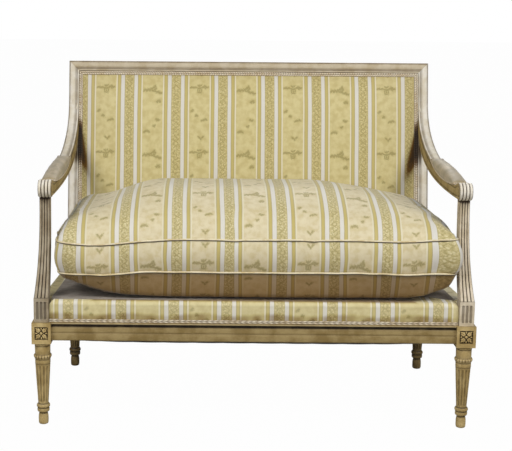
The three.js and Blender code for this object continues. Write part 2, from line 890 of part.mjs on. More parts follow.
// Outline of the canvas over the springs, which is tacked to the rails on eight sides.
function canvasRings(margin, foot, top) {
  const front = frontRailInside - canvasTack - margin;
  const rear = rearRailInside + canvasTack + margin;
  const side = (y) => sideX(y) + sideRailOut - railHalf + canvasTack + margin;
  const spare = canvasMargin - margin * Math.SQRT2;
  const frontCut = side(front) - front - (frontLegX - postBaseSide) + spare;
  const stileCorner = stileInnerX + legRowDepth - rearBlockSide / 2;
  const rearCut = side(rear) + rear - stileCorner + spare;
  const half = [
    [side(front) - frontCut, front],
    [side(front + frontCut), front + frontCut],
    [side(rear - rearCut), rear - rearCut],
    [side(rear) - rearCut, rear],
  ];
  const other = half.map(([x, y]) => [-x, y]).reverse();
  const outline = [...half, ...other];
  const middle = (front + rear) / 2;
  const shrinkX = 1 - canvasSlope / side(middle);
  const shrinkY = 1 - canvasSlope / (rear - middle);
  const below = outline.map(([x, y]) => new THREE.Vector3(x, y, foot));
  const straight = outline.map(([x, y]) => new THREE.Vector3(x, y, railTopHeight + clearance));
  const above = outline.map(([x, y]) => {
    return new THREE.Vector3(x * shrinkX, middle + (y - middle) * shrinkY, top);
  });
  return foot < railTopHeight ? [below, straight, above] : [straight, above];
}

function springCanvas() {
  const outer = loft(canvasRings(0, deckFoot, canvasTop));
  const inner = canvasRings(-clothThickness, railTopHeight - overrun, canvasTop - clothThickness);
  return cut(outer, [loft(inner)]);
}

const springMiddleY = (frontRailInside + rearRailInside) / 2;

function springPlaces() {
  const places = [];
  for (let row = 0; row < springRows; row++) {
    for (let column = 0; column < springColumns; column++) {
      const x = (column - (springColumns - 1) / 2) * springColumnPitch;
      const y = springMiddleY + (row - (springRows - 1) / 2) * springRowPitch;
      places.push([x, y]);
    }
  }
  return places;
}

// Middle line of one waisted spring: a helix whose radius narrows at half its height.
function springPath() {
  const foot = webTop + clearance + springWireRadius;
  const top = canvasTop - clothThickness - clearance - springWireRadius;
  const steps = springTurns * springSteps;
  const points = [];
  for (let i = 0; i <= steps; i++) {
    const share = i / steps;
    const angle = 2 * Math.PI * i / springSteps;
    const bow = Math.pow(2 * share - 1, 2);
    const radius = springWaistRadius + (springEndRadius - springWaistRadius) * bow;
    const z = foot + (top - foot) * share;
    points.push(new THREE.Vector3(radius * Math.cos(angle), radius * Math.sin(angle), z));
  }
  return points;
}

function coilSpring() {
  const path = springPath();
  const rings = path.map((point, i) => {
    const outward = new THREE.Vector3(point.x, point.y, 0).normalize();
    const ring = [];
    for (let j = 0; j < springWireSides; j++) {
      const angle = 2 * Math.PI * j / springWireSides;
      const corner = point.clone().addScaledVector(outward, springWireRadius * Math.cos(angle));
      corner.z += springWireRadius * Math.sin(angle);
      ring.push(corner);
    }
    return ring;
  });
  return loft(rings);
}

// Least gap between turns of one spring, measured between the points of its middle line.
function leastTurnGap() {
  const path = springPath();
  let least = Infinity;
  for (let i = 0; i < path.length; i++) {
    for (let j = i + springSteps - 1; j < path.length; j++) {
      least = Math.min(least, path[i].distanceTo(path[j]));
    }
  }
  return least - springWireRadius * 2;
}

function seatWebbing() {
  const ys = [frontRailInside - webTack, rearRailInside + webTack];
  const zs = [webFoot, webTop];
  const straps = [];
  for (let i = -(springColumns - 1); i < springColumns; i++) {
    straps.push(box(spread(i * springColumnPitch / 2, webWidth), ys, zs));
  }
  for (let row = 0; row < springRows; row++) {
    const y = springMiddleY + (row - (springRows - 1) / 2) * springRowPitch;
    const reach = sideX(y) + sideRailOut - railHalf + webTack;
    straps.push(box([-reach, reach], spread(y, webWidth), zs));
  }
  return joined(straps);
}

// A thin or thick sheet over a grid: near and far give the third place at each point.
function sheet(us, vs, near, far, toPoint) {
  const positions = [];
  for (const surface of [near, far]) {
    for (const v of vs) {
      for (const u of us) {
        positions.push(...toPoint(u, v, surface(u, v)).toArray());
      }
    }
  }
  const across = us.length;
  const offset = us.length * vs.length;
  const triangles = [];
  const quad = (a, b, c, d) => triangles.push(a, b, c, a, c, d);
  for (let j = 0; j + 1 < vs.length; j++) {
    for (let i = 0; i + 1 < across; i++) {
      const a = j * across + i;
      const b = a + 1;
      const c = b + across;
      const d = a + across;
      quad(a, b, c, d);
      triangles.push(a + offset, c + offset, b + offset, a + offset, d + offset, c + offset);
    }
  }
  for (let i = 0; i + 1 < across; i++) {
    const last = (vs.length - 1) * across;
    quad(i + offset, i + 1 + offset, i + 1, i);
    quad(last + i, last + i + 1, last + i + 1 + offset, last + i + offset);
  }
  for (let j = 0; j + 1 < vs.length; j++) {
    const left = j * across;
    const right = left + across - 1;
    quad(left, left + across, left + across + offset, left + offset);
    quad(right + offset, right + across + offset, right + across, right);
  }
  return facingOut(positions, triangles);
}

// The room that a cloth under the rails leaves for the block of a leg.
function legNotch(x, y, side) {
  const room = side + clearance * 2;
  return box(spread(x, room), spread(y, room), grown([turnedHeight, railTopHeight], dustClothSag));
}

function dustCover() {
  const shares = [-1, -0.8, -0.4, 0, 0.4, 0.8, 1];
  const halfX = (y) => sideX(y) + sideRailOut - railHalf + webTack;
  const front = frontRailInside - webTack;
  const rear = rearRailInside + webTack;
  const halfY = (rear - front) / 2;
  const top = webFoot - clearance;
  const ys = shares.map((share) => springMiddleY + share * halfY);
  const sag = (share, y) => {
    const across = 1 - Math.pow(share, sagPower);
    const along = 1 - Math.pow((y - springMiddleY) / halfY, sagPower);
    return top - dustClothSag * across * along;
  };
  const lower = (share, y) => sag(share, y) - clothThickness;
  const toPoint = (share, y, z) => new THREE.Vector3(share * halfX(y), y, z);
  const cloth = sheet(shares, ys, lower, sag, toPoint);
  const notches = [
    legNotch(frontLegX, 0, frontBlockSide),
    legNotch(-frontLegX, 0, frontBlockSide),
    legNotch(rearLegX, legRowDepth, rearBlockSide),
    legNotch(-rearLegX, legRowDepth, rearBlockSide),
  ];
  return cut(cloth, notches);
}

function seatBraidFront() {
  const deckFront = frontRailY - railHalf + deckSetback;
  const end = frontLegX - postBaseSide / 2 - deckSideMargin;
  const rear = deckFront - clearance;
  return box([-end, end], [rear - braidThickness, rear], [deckFoot, deckFoot + braidHeight]);
}

function seatBraidSide() {
  const start = postBaseSide / 2 + deckSideMargin;
  const end = legRowDepth - rearBlockSide / 2 - deckSideMargin;
  const ring = (y) => {
    const inner = sideX(y) + sideRailOut + railHalf - deckSetback + clearance;
    return [
      new THREE.Vector3(inner, y, deckFoot),
      new THREE.Vector3(inner + braidThickness, y, deckFoot),
      new THREE.Vector3(inner + braidThickness, y, deckFoot + braidHeight),
      new THREE.Vector3(inner, y, deckFoot + braidHeight),
    ];
  };
  return loft([ring(start), ring(end)]);
}

// Layers of the back, in the plane of the back: X across, Z along the stiles.
const webBackFace = rebateFloor - clearance;
const webFrontFace = webBackFace - webThickness;
const coverRearFace = webFrontFace - clearance;
const panelMiddle = (panelFoot + panelTop) / 2;
const panelHalfHeight = (panelTop - panelFoot) / 2;
const crownMargin = backBraidWidth + clothThickness + clearance * 2;
const crownHalfWidth = panelHalfWidth - crownMargin;
const crownHalfHeight = panelHalfHeight - crownMargin;

function backWebbing() {
  const reachX = panelHalfWidth - clearance;
  const ys = [webFrontFace, webBackFace];
  const zs = [panelFoot + clearance, panelTop - clearance];
  const straps = [];
  for (let i = 0; i < backWebColumns; i++) {
    const x = (i + 1 - (backWebColumns + 1) / 2) * stileInnerX * 2 / (backWebColumns + 1);
    straps.push(box(spread(x, backWebWidth), ys, zs));
  }
  for (let i = 0; i < backWebRows; i++) {
    const z = panelFoot + (panelTop - panelFoot) * (i + 1) / (backWebRows + 1);
    straps.push(box([-reachX, reachX], ys, spread(z, backWebWidth)));
  }
  return joined(straps);
}

const backCrownShares = [-1, -0.97, -0.9, -0.75, -0.4, 0, 0.4, 0.75, 0.9, 0.97, 1];

function backCrownRise(x, z) {
  const across = 1 - Math.pow(Math.min(1, Math.abs(x) / crownHalfWidth), crownPowerAcross);
  const along = 1 - Math.pow(Math.min(1, Math.abs(z - panelMiddle) / crownHalfHeight), crownPowerAlong);
  return backEdge + backCrown * across * along;
}

const inBackPlane = (x, z, y) => new THREE.Vector3(x, y, z);

function backStuffing() {
  const halfX = crownHalfWidth - clearance;
  const halfZ = crownHalfHeight - clearance;
  const xs = backCrownShares.map((share) => share * halfX);
  const zs = backCrownShares.map((share) => panelMiddle + share * halfZ);
  const front = (x, z) => coverRearFace - backCrownRise(x, z) + clearance;
  return sheet(xs, zs, front, () => coverRearFace, inBackPlane);
}

function insideBackCover() {
  const halfX = panelHalfWidth - clearance;
  const halfZ = panelHalfHeight - clearance;
  const foldX = crownHalfWidth + clothThickness;
  const foldZ = crownHalfHeight + clothThickness;
  const inner = backCrownShares.map((share) => share * crownHalfWidth);
  const innerZ = backCrownShares.map((share) => share * crownHalfHeight);
  const xs = [-halfX, -foldX, ...inner, foldX, halfX];
  const zs = [-halfZ, -foldZ, ...innerZ, foldZ, halfZ].map((z) => panelMiddle + z);
  const isRim = (x, z) => Math.abs(x) >= foldX || Math.abs(z - panelMiddle) >= foldZ;
  const rear = (x, z) => coverRearFace - (isRim(x, z) ? 0 : backCrownRise(x, z));
  const front = (x, z) => rear(x, z) - clothThickness;
  return sheet(xs, zs, front, rear, inBackPlane);
}

// Braid as a flat mitred band round the panel, its outer edge by the wood.
function panelBraid(front, thickness) {
  const outerX = panelHalfWidth - clearance;
  const outerZ = panelHalfHeight - clearance;
  const corners = [[-1, -1], [1, -1], [1, 1], [-1, 1]];
  const rings = corners.map(([sideways, upwards]) => {
    const at = (inset, y) => {
      const x = sideways * (outerX - inset);
      return new THREE.Vector3(x, y, panelMiddle + upwards * (outerZ - inset));
    };
    return [
      at(0, front),
      at(backBraidWidth, front),
      at(backBraidWidth, front + thickness),
      at(0, front + thickness),
    ];
  });
  return loft(rings, true);
}

function backBraid() {
  const rear = coverRearFace - clothThickness - clearance;
  return panelBraid(rear - backBraidThickness, backBraidThickness);
}

const outsideClothFace = backThickness / 2 - rearRebateDepth + clearance;

function outsideBackCover() {
  const reach = panelHalfWidth - clearance;
  const zs = [panelFoot + clearance, panelTop - clearance];
  return box([-reach, reach], [outsideClothFace, outsideClothFace + clothThickness], zs);
}

function outsideBackBraid() {
  return panelBraid(outsideClothFace + clothThickness + clearance, braidThickness);
}

// Plan of the cushion at one inset: a rectangle with rounded corners and drawn-in sides.
function cushionRing(inset, height) {
  const middleY = (cushionRearReach - cushionFrontReach) / 2;
  const halfY = (cushionRearReach + cushionFrontReach) / 2 - inset;
  const halfX = cushionHalfWidth - inset;
  const radius = Math.min(cushionCornerRadius, halfY / 2);
  const cornerSteps = 4;
  const longShares = [-0.72, -0.36, 0, 0.36, 0.72];
  const shortShares = [-0.6, 0, 0.6];
  const points = [];
  const sides = [[1, 0], [0, 1], [-1, 0], [0, -1]];
  for (const [ux, uy] of sides) {
    const reach = ux ? halfX : halfY;
    const span = ux ? halfY : halfX;
    const shares = ux ? shortShares : longShares;
    for (const share of shares) {
      const along = share * (span - radius);
      const out = reach - cushionDrawIn * (1 - share * share);
      points.push([ux * out - uy * along, uy * out + ux * along]);
    }
    const startAngle = Math.atan2(uy, ux);
    const cornerX = (ux - uy) * (ux ? halfX - radius : span - radius);
    const cornerY = (uy + ux) * (ux ? span - radius : halfY - radius);
    for (let i = 0; i <= cornerSteps; i++) {
      const angle = startAngle + Math.PI / 2 * i / cornerSteps;
      points.push([cornerX + radius * Math.cos(angle), cornerY + radius * Math.sin(angle)]);
    }
  }
  return points.map(([x, y]) => new THREE.Vector3(x, middleY + y, height));
}

// Swell of the cushion: rows of inset and height shares, below and above the seams.
const lowerSwellShares = [[0.5, 0], [0.24, 0.03], [0.1, 0.2], [0.035, 0.5], [0.008, 0.8]];
const boxingBulgeShares = [0.15, 0.5, 0.85];
const upperSwellShares = [
  [0.004, 0.06], [0.03, 0.18], [0.085, 0.32], [0.17, 0.47], [0.29, 0.62], [0.5, 0.81], [0.78, 0.96],
];

// The rings of the cushion from its flat underside to its crown, drawn in by a skin.
function cushionRings(skin) {
  const foot = deckHeight + cushionLift;
  const halfDepth = (cushionRearReach + cushionFrontReach) / 2;
  const under = lowerSeamHeight - foot;
  const over = cushionTopHeight - upperSeamHeight;
  const rings = [];
  for (const [inset, rise] of lowerSwellShares) {
    rings.push(cushionRing(seamInset + inset * halfDepth + skin, foot + skin + under * rise));
  }
  rings.push(cushionRing(seamInset + skin, lowerSeamHeight));
  for (const share of boxingBulgeShares) {
    const bulge = seamInset * (1 - Math.sin(Math.PI * share));
    const height = lowerSeamHeight + (upperSeamHeight - lowerSeamHeight) * share;
    rings.push(cushionRing(bulge + skin, height));
  }
  rings.push(cushionRing(seamInset + skin, upperSeamHeight));
  for (const [inset, rise] of upperSwellShares) {
    rings.push(cushionRing(seamInset + inset * halfDepth + skin, upperSeamHeight + over * rise - skin));
  }
  return rings;
}

function cushionCore() {
  return loft(cushionRings(cushionCoverThickness + clearance));
}

function cushionCover() {
  const slitWidth = cushionHalfWidth * 2 * cushionSlitShare;
  const rear = [cushionRearReach - seamInset * 4, cushionRearReach + overrun];
  const middle = (lowerSeamHeight + upperSeamHeight) / 2;
  const slit = box(spread(0, slitWidth), rear, spread(middle, cushionSlitHeight));
  return cut(loft(cushionRings(0)), [loft(cushionRings(cushionCoverThickness)), slit]);
}

// Piping sewn round the cushion at a seam, just outside the cover.
function cushionPiping(height) {
  const path = cushionRing(seamInset - pipingRadius - clearance, height);
  const rings = path.map((point, i) => {
    const before = path[(i + path.length - 1) % path.length];
    const after = path[(i + 1) % path.length];
    const along = after.clone().sub(before).normalize();
    const outward = new THREE.Vector3(along.y, -along.x, 0);
    const ring = [];
    for (let j = 0; j < pipingSides; j++) {
      const angle = 2 * Math.PI * j / pipingSides;
      const corner = point.clone().addScaledVector(outward, pipingRadius * Math.cos(angle));
      corner.z += pipingRadius * Math.sin(angle);
      ring.push(corner);
    }
    return ring;
  });
  return loft(rings, true);
}

const settee = new THREE.Group();
const backPlane = new THREE.Group();
backPlane.rotation.x = -rakeAngle;
backPlane.position.set(0, legRowDepth, railTopHeight);

function addPiece(name, geometry, finish, parent = settee) {
  const material = new THREE.MeshStandardMaterial({ metalness: 0, ...finish });
  const mesh = new THREE.Mesh(geometry, material);
  mesh.name = name;
  parent.add(mesh);
  return mesh;
}

// A piece drawn on the right, with its mirror image on the left.
function addPair(name, geometry, finish) {
  addPiece(`${name}_right`, geometry, finish);
  addPiece(`${name}_left`, mirrored(geometry), finish);
}

addPair('front_leg', frontLeg(), glazedPaint);
addPair('rear_post', rearPost(), paint);
addPiece('back_top_rail', backTopRail(), paint, backPlane);
addPiece('back_bottom_rail', backBottomRail(), paint, backPlane);
addPiece('seat_rail_front', seatRailFront(), glazedPaint);
addPiece('seat_rail_back', seatRailBack(), glazedPaint);
addPair('seat_rail', seatRailSide(), glazedPaint);
addPiece('seat_cross_rail', seatCrossRail(), bareBeech);
addPair('corner_block_front', cornerBlock(true), bareBeech);
addPair('corner_block_rear', cornerBlock(false), bareBeech);
for (const [place, peg] of Object.entries(pegs)) {
  addPair(`peg_${place}`, toGeometry(toSolid(pegSolid(peg, 0))), bareBeech);
}
addPair('arm_post', armPost(), paint);
addPair('arm', arm(), paint);
addPair('arm_pad', armPad(), padSilk);

addPiece('seat_webbing', seatWebbing(), jute);
springPlaces().forEach(([x, y], i) => {
  const spring = addPiece(`seat_spring_${i + 1}`, coilSpring(), springSteel);
  spring.position.set(x, y, 0);
});
addPiece('spring_canvas', springCanvas(), jute);
addPiece('seat_stuffing', seatStuffing(), hair);
addPiece('seat_border', seatBorder(), silk);
addPiece('platform_cloth', platformCloth(), cotton);
addPiece('seat_braid_front', seatBraidFront(), braidYarn);
addPair('seat_braid', seatBraidSide(), braidYarn);
addPiece('dust_cover', dustCover(), cambric);

addPiece('back_webbing', backWebbing(), jute, backPlane);
addPiece('back_stuffing', backStuffing(), hair, backPlane);
addPiece('inside_back_cover', insideBackCover(), silk, backPlane);
addPiece('back_braid', backBraid(), braidYarn, backPlane);
addPiece('outside_back_cover', outsideBackCover(), silk, backPlane);
addPiece('outside_back_braid', outsideBackBraid(), braidYarn, backPlane);

addPiece('cushion_core', cushionCore(), down);
addPiece('cushion_cover', cushionCover(), silk);
addPiece('cushion_piping_lower', cushionPiping(lowerSeamHeight), silk);
addPiece('cushion_piping_upper', cushionPiping(upperSeamHeight), silk);
console.log(`least gap between the turns of a spring: ${leastTurnGap().toFixed(1)} mm`);

settee.add(backPlane);
const frontmost = -frontBlockSide / 2;
const rearmost = legRowDepth + stileLength * Math.sin(rakeAngle) + backThickness / 2 * Math.cos(rakeAngle);
settee.position.y = -(frontmost + rearmost) / 2;

export default settee;
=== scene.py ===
import math

import bpy
import numpy as np
from mathutils import Matrix


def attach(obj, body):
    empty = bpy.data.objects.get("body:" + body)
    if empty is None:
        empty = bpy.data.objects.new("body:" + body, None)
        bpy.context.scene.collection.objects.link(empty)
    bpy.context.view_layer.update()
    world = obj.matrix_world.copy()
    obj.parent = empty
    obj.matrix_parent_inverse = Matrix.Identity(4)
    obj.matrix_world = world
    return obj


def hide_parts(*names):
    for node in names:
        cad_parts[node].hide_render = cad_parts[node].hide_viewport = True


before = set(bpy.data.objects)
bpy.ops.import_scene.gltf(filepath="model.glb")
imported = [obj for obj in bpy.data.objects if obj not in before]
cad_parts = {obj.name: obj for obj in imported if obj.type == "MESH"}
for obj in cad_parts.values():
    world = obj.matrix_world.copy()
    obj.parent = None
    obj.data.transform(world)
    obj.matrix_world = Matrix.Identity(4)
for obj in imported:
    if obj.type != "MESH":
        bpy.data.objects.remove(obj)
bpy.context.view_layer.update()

# Sizes of the frame in millimetres, drawn with y = 0 on the axes of the front legs.
layout = {
    "rowShift": -329.524, "frontLegX": 574.0, "rearLegX": 547.0, "rowDepth": 540.0,
    "frontBlock": 52.0, "rearBlock": 46.0, "turnedHeight": 232.0, "railTop": 291.0,
    "railHeight": 51.0, "railThickness": 30.0, "railSetback": 8.0,
    "backHeight": 966.0, "backRake": 128.0, "backThickness": 36.0,
    "faceWidth": 32.0, "rebateWidth": 10.0, "bottomRailLift": 75.0,
    "underArm": 626.0, "deckTop": 352.0, "clearance": 0.3,
}
rakeAngle = math.atan2(layout["backRake"], layout["backHeight"] - layout["railTop"])
halfBack = layout["backThickness"] / 2
stileOuterX = layout["rearLegX"] + (layout["faceWidth"] + layout["rebateWidth"]) / 2
stileRise = layout["backHeight"] - layout["railTop"] - halfBack * math.sin(rakeAngle)
stileLength = stileRise / math.cos(rakeAngle)
memberWidth = layout["faceWidth"] + layout["rebateWidth"]
frontRailY = -layout["frontBlock"] / 2 + layout["railSetback"] + layout["railThickness"] / 2
rearRailY = layout["rowDepth"] + layout["rearBlock"] / 2 - layout["railSetback"] - layout["railThickness"] / 2


def tilted(points):
    """Points drawn in the plane of the back (x across, y back, z along the stiles), leant back by the rake."""
    x, y, z = points[..., 0], points[..., 1], points[..., 2]
    c, s = math.cos(rakeAngle), math.sin(rakeAngle)
    return np.stack([x, layout["rowDepth"] + y * c + z * s, layout["railTop"] - y * s + z * c], -1)


def sideX(y):
    """Middle line of the side of the seat, which narrows from the front legs to the rear legs."""
    return layout["frontLegX"] + (layout["rearLegX"] - layout["frontLegX"]) * y / layout["rowDepth"]


def stileFront(height):
    """Front face of the stile at a height from the floor."""
    along = (height - layout["railTop"] - halfBack * math.sin(rakeAngle)) / math.cos(rakeAngle)
    return layout["rowDepth"] + along * math.sin(rakeAngle) - halfBack * math.cos(rakeAngle)


def smooth(t):
    """Runs from 0 to 1 with level ends: t squared times (3 - 2t)."""
    t = np.clip(t, 0, 1)
    return t * t * (3 - 2 * t)


def grid(points, glaze=None, uv=None, loopU=False, loopV=False, capped=False):
    """A surface from an array of rows of points: face (i, j) joins points (i, j), (i, j + 1), (i + 1, j + 1) and
    (i + 1, j). A loop joins the last row or column to the first, and a cap closes an end row to its middle."""
    rows, columns = points.shape[:2]
    glaze = np.zeros((rows, columns)) if glaze is None else glaze
    i = np.arange(rows if loopV else rows - 1)[:, None]
    j = np.arange(columns if loopU else columns - 1)[None, :]
    down, right = (i + 1) % rows, (j + 1) % columns
    quads = np.stack([i * columns + j, i * columns + right, down * columns + right, down * columns + j], -1)
    part = {"verts": points.reshape(-1, 3), "quads": quads.reshape(-1, 4), "tris": np.zeros((0, 3), int),
            "glaze": glaze.reshape(-1), "uv": None}
    if uv is not None:
        part["uv"] = uv.reshape(-1, 2)
    if capped:
        count = rows * columns
        ends = np.stack([points[0].mean(0), points[-1].mean(0)])
        part["verts"] = np.concatenate([part["verts"], ends])
        part["glaze"] = np.concatenate([part["glaze"], [glaze[0].mean(), glaze[-1].mean()]])
        if uv is not None:
            part["uv"] = np.concatenate([part["uv"], uv[0].mean(0)[None], uv[-1].mean(0)[None]])
        k = np.arange(columns)
        after = (k + 1) % columns
        last = (rows - 1) * columns
        first = np.stack([np.full(columns, count), after, k], -1)
        second = np.stack([np.full(columns, count + 1), last + k, last + after], -1)
        part["tris"] = np.concatenate([first, second])
    return outward(part) if capped or (loopU and loopV) else part


def outward(part):
    """Turns every face over when the signed volume of the closed surface is negative."""
    v = part["verts"]
    fans = np.concatenate([part["quads"][:, [0, 1, 2]], part["quads"][:, [0, 2, 3]], part["tris"]])
    volume = np.einsum("ij,ij->i", v[fans[:, 0]], np.cross(v[fans[:, 1]], v[fans[:, 2]])).sum()
    if volume < 0:
        part["quads"], part["tris"] = part["quads"][:, ::-1], part["tris"][:, ::-1]
    return part


def mirroredPart(part):
    """The same surface on the other side of the settee: x changes sign and the faces turn over."""
    other = dict(part)
    other["verts"] = part["verts"] * [-1, 1, 1]
    other["quads"], other["tris"] = part["quads"][:, ::-1], part["tris"][:, ::-1]
    return other


def meshFrom(name, parts):
    """One mesh from several surfaces in millimetres, moved to the row's place and turned to metres."""
    verts, quads, tris, glaze, quadUvs, triUvs, start = [], [], [], [], [], [], 0
    quadFinish, triFinish = [], []
    for part in parts:
        second = part.get("second", False)  # faces that take the piece's second finish: all, none or a choice of quads
        quadFinish.append(np.broadcast_to(second, len(part["quads"])))
        triFinish.append(np.full(len(part["tris"]), np.all(second)))
        verts.append(part["verts"])
        quads.append(part["quads"] + start)
        tris.append(part["tris"] + start)
        glaze.append(part["glaze"])
        uv = part["uv"] if part["uv"] is not None else part["verts"][:, :2] * 0
        corners = uv[part["quads"]]
        if "sideUv" in part:  # faces of another panel take the cloth's place from a second map
            corners = np.where(part["sideQuads"][:, None, None], part["sideUv"][part["quads"]], corners)
        quadUvs.append(corners.reshape(-1, 2))
        triUvs.append(uv[part["tris"]].reshape(-1, 2))
        start += len(part["verts"])
    verts, quads, tris = np.concatenate(verts), np.concatenate(quads), np.concatenate(tris)
    verts = (verts + [0, layout["rowShift"], 0]) * 0.001
    mesh = bpy.data.meshes.new(name)
    loops = np.concatenate([quads.ravel(), tris.ravel()]).astype(np.int32)
    starts = np.concatenate([np.arange(len(quads)) * 4, len(quads) * 4 + np.arange(len(tris)) * 3])
    mesh.vertices.add(len(verts))
    mesh.vertices.foreach_set("co", verts.astype(np.float32).ravel())
    mesh.loops.add(len(loops))
    mesh.loops.foreach_set("vertex_index", loops)
    mesh.polygons.add(len(starts))
    mesh.polygons.foreach_set("loop_start", starts.astype(np.int32))
    mesh.polygons.foreach_set("use_smooth", np.ones(len(starts), bool))
    finishIndex = np.concatenate(quadFinish + triFinish).astype(np.int32)
    mesh.polygons.foreach_set("material_index", finishIndex)
    mesh.update(calc_edges=True)
    mesh.validate()
    mesh.attributes.new("glaze", "FLOAT", "POINT").data.foreach_set("value", np.concatenate(glaze).astype(np.float32))
    uv = np.concatenate(quadUvs + triUvs)
    mesh.uv_layers.new(name="cloth").data.foreach_set("uv", uv.astype(np.float32).ravel())
    return mesh


def addPiece(name, parts, finish, body="frame", replaces=(), sharp=38, second=None):
    """Puts a finished piece in the scene, riding on its body and standing for its CAD nodes."""
    mesh = meshFrom(name, parts)
    mesh.set_sharp_from_angle(angle=math.radians(sharp))
    piece = bpy.data.objects.new(name, mesh)
    bpy.context.scene.collection.objects.link(piece)
    dress(piece, finish, second)
    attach(piece, body)
    if replaces:
        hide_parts(*replaces)
    return piece


finishes = {}  # name of the finish: (material, record's slot)


def dress(piece, finish, second=None):
    material, slot = finishes[finish]
    piece.data.materials.append(material)
    if second:
        piece.data.materials.append(finishes[second][0])


# Materials
def linear(hexColour):
    """An sRGB hex colour as linear red, green, blue and alpha."""
    values = [int(hexColour[i:i + 2], 16) / 255 for i in (1, 3, 5)]
    return tuple(v / 12.92 if v <= 0.04045 else ((v + 0.055) / 1.055) ** 2.4 for v in values) + (1.0,)


def startMaterial(name):
    material = bpy.data.materials.new(name)
    material.use_nodes = True
    tree = material.node_tree
    shader = tree.nodes["Principled BSDF"]
    return material, tree, shader


def add(tree, kind, settings=None, **links):
    """Adds a node with its settings. A link is an input's name or number and the socket or value that feeds it."""
    node = tree.nodes.new(kind)
    for key, value in (settings or {}).items():
        setattr(node, key, value)
    for key, value in links.items():
        socket = node.inputs[int(key[1:])] if key[0] == "i" and key[1:].isdigit() else node.inputs[key.replace("_", " ")]
        if isinstance(value, bpy.types.NodeSocket):
            tree.links.new(value, socket)
        else:
            socket.default_value = value
    return node


def maths(tree, operation, a, b=0.0, c=0.0, clamp=False):
    return add(tree, "ShaderNodeMath", {"operation": operation, "use_clamp": clamp}, i0=a, i1=b, i2=c).outputs[0]


def mixed(tree, factor, a, b, blend="MIX"):
    node = add(tree, "ShaderNodeMix", {"data_type": "RGBA", "blend_type": blend}, i0=factor)
    for socket, value in ((node.inputs[6], a), (node.inputs[7], b)):
        if isinstance(value, bpy.types.NodeSocket):
            tree.links.new(value, socket)
        else:
            socket.default_value = value
    return node.outputs[2]


def ramped(tree, value, low, high, smoothly=True):
    """0 below low, 1 above high."""
    kind = "SMOOTHSTEP" if smoothly else "LINEAR"
    return add(tree, "ShaderNodeMapRange", {"interpolation_type": kind}, Value=value, From_Min=low, From_Max=high).outputs[0]


def noise(tree, place, scale, detail=3.0, roughness=0.5, distortion=0.0):
    return add(tree, "ShaderNodeTexNoise", Vector=place, Scale=scale, Detail=detail, Roughness=roughness,
               Distortion=distortion).outputs[0]


def bumped(tree, shader, height, strength, distance):
    bump = add(tree, "ShaderNodeBump", Height=height, Strength=strength, Distance=distance)
    tree.links.new(bump.outputs[0], shader.inputs["Normal"])


def stretchedPlace(tree, scale):
    coords = add(tree, "ShaderNodeTexCoord")
    return add(tree, "ShaderNodeMapping", Vector=coords.outputs["Object"], Scale=scale).outputs[0], coords.outputs["Object"]


paintChoice = {
    "pale": {"coat": "#E2DCD0", "thin": "#D0C5AE", "glaze": "#54432D", "wood": "#A58C66", "brushMm": 1.2},
    # worn: darker paint for the left arm post than the soft paint of the right
    "worn": {"coat": "#ADA088", "thin": "#918167", "glaze": "#33261A", "wood": "#856C49", "brushMm": 1.2},
    "soft": {"coat": "#DDD0B9", "thin": "#C3B396", "glaze": "#3F3020", "wood": "#957B55", "brushMm": 1.2},
    "brown": {"coat": "#C6B9A1", "thin": "#B3A283", "glaze": "#54432D", "wood": "#98805C", "brushMm": 1.2},
    "rail": {"coat": "#AB9564", "thin": "#8C7544", "glaze": "#261A0A", "wood": "#725831", "brushMm": 1.2},
    "warm": {"coat": "#CBB37C", "thin": "#A88E58", "glaze": "#2E200C", "wood": "#7A5E33", "brushMm": 1.2},
    "dark": {"coat": "#8A7548", "thin": "#675430", "glaze": "#1C1308", "wood": "#553F1F", "brushMm": 1.2},
}


def paintedBeech(name, choice, grain):
    """Distemper brushed over beech and rubbed with a brown glaze: chalky and slightly streaked along the wood,
    darker where the glaze stayed in the hollows and thin on the arrises."""
    material, tree, shader = startMaterial(name)
    along = {"x": (0.08, 1, 1), "y": (1, 0.08, 1), "z": (1, 1, 0.08)}[grain]
    streaked, place = stretchedPlace(tree, along)
    glaze = add(tree, "ShaderNodeAttribute", {"attribute_name": "glaze"}).outputs["Fac"]
    strokes = noise(tree, streaked, 1000 / choice["brushMm"] / 4, 4.0, 0.6)
    patches = noise(tree, place, 22.0, 5.0, 0.62)
    rubbed = noise(tree, streaked, 70.0, 4.0, 0.7, 0.4)
    specks = noise(tree, place, 420.0, 3.0, 0.7)
    coat = mixed(tree, ramped(tree, patches, 0.36, 0.66), linear(choice["coat"]), linear(choice["thin"]))
    coat = mixed(tree, maths(tree, "MULTIPLY", ramped(tree, strokes, 0.45, 0.75), 0.35), coat, linear(choice["thin"]))
    bare = maths(tree, "MULTIPLY", ramped(tree, rubbed, 0.6, 0.72), 0.4)
    coat = mixed(tree, bare, coat, linear(choice["wood"]))
    rubbedPaleAndHighlit = maths(tree, "MULTIPLY", ramped(tree, maths(tree, "MULTIPLY", glaze, -1.0), 0.0, 1.0), 0.75)
    coat = mixed(tree, rubbedPaleAndHighlit, coat, linear("#EFE6D2"))  # raised carving is rubbed pale and carries a painted highlight: the glaze there is below zero
    dirt = maths(tree, "MULTIPLY", ramped(tree, specks, 0.6, 0.8), 0.35)
    held = maths(tree, "ADD", maths(tree, "MULTIPLY", glaze, maths(tree, "ADD", 0.62, maths(tree, "MULTIPLY", patches, 0.7))), dirt, clamp=True)
    tree.links.new(mixed(tree, held, coat, linear(choice["glaze"])), shader.inputs["Base Color"])
    rough = maths(tree, "MULTIPLY_ADD", strokes, 0.25, 0.42)
    tree.links.new(rough, shader.inputs["Roughness"])
    shader.inputs["IOR"].default_value = 1.45
    shader.inputs["Specular IOR Level"].default_value = 0.4
    height = maths(tree, "ADD", strokes, maths(tree, "MULTIPLY", specks, 0.4))
    bumped(tree, shader, height, 0.35, 0.0006)
    return material


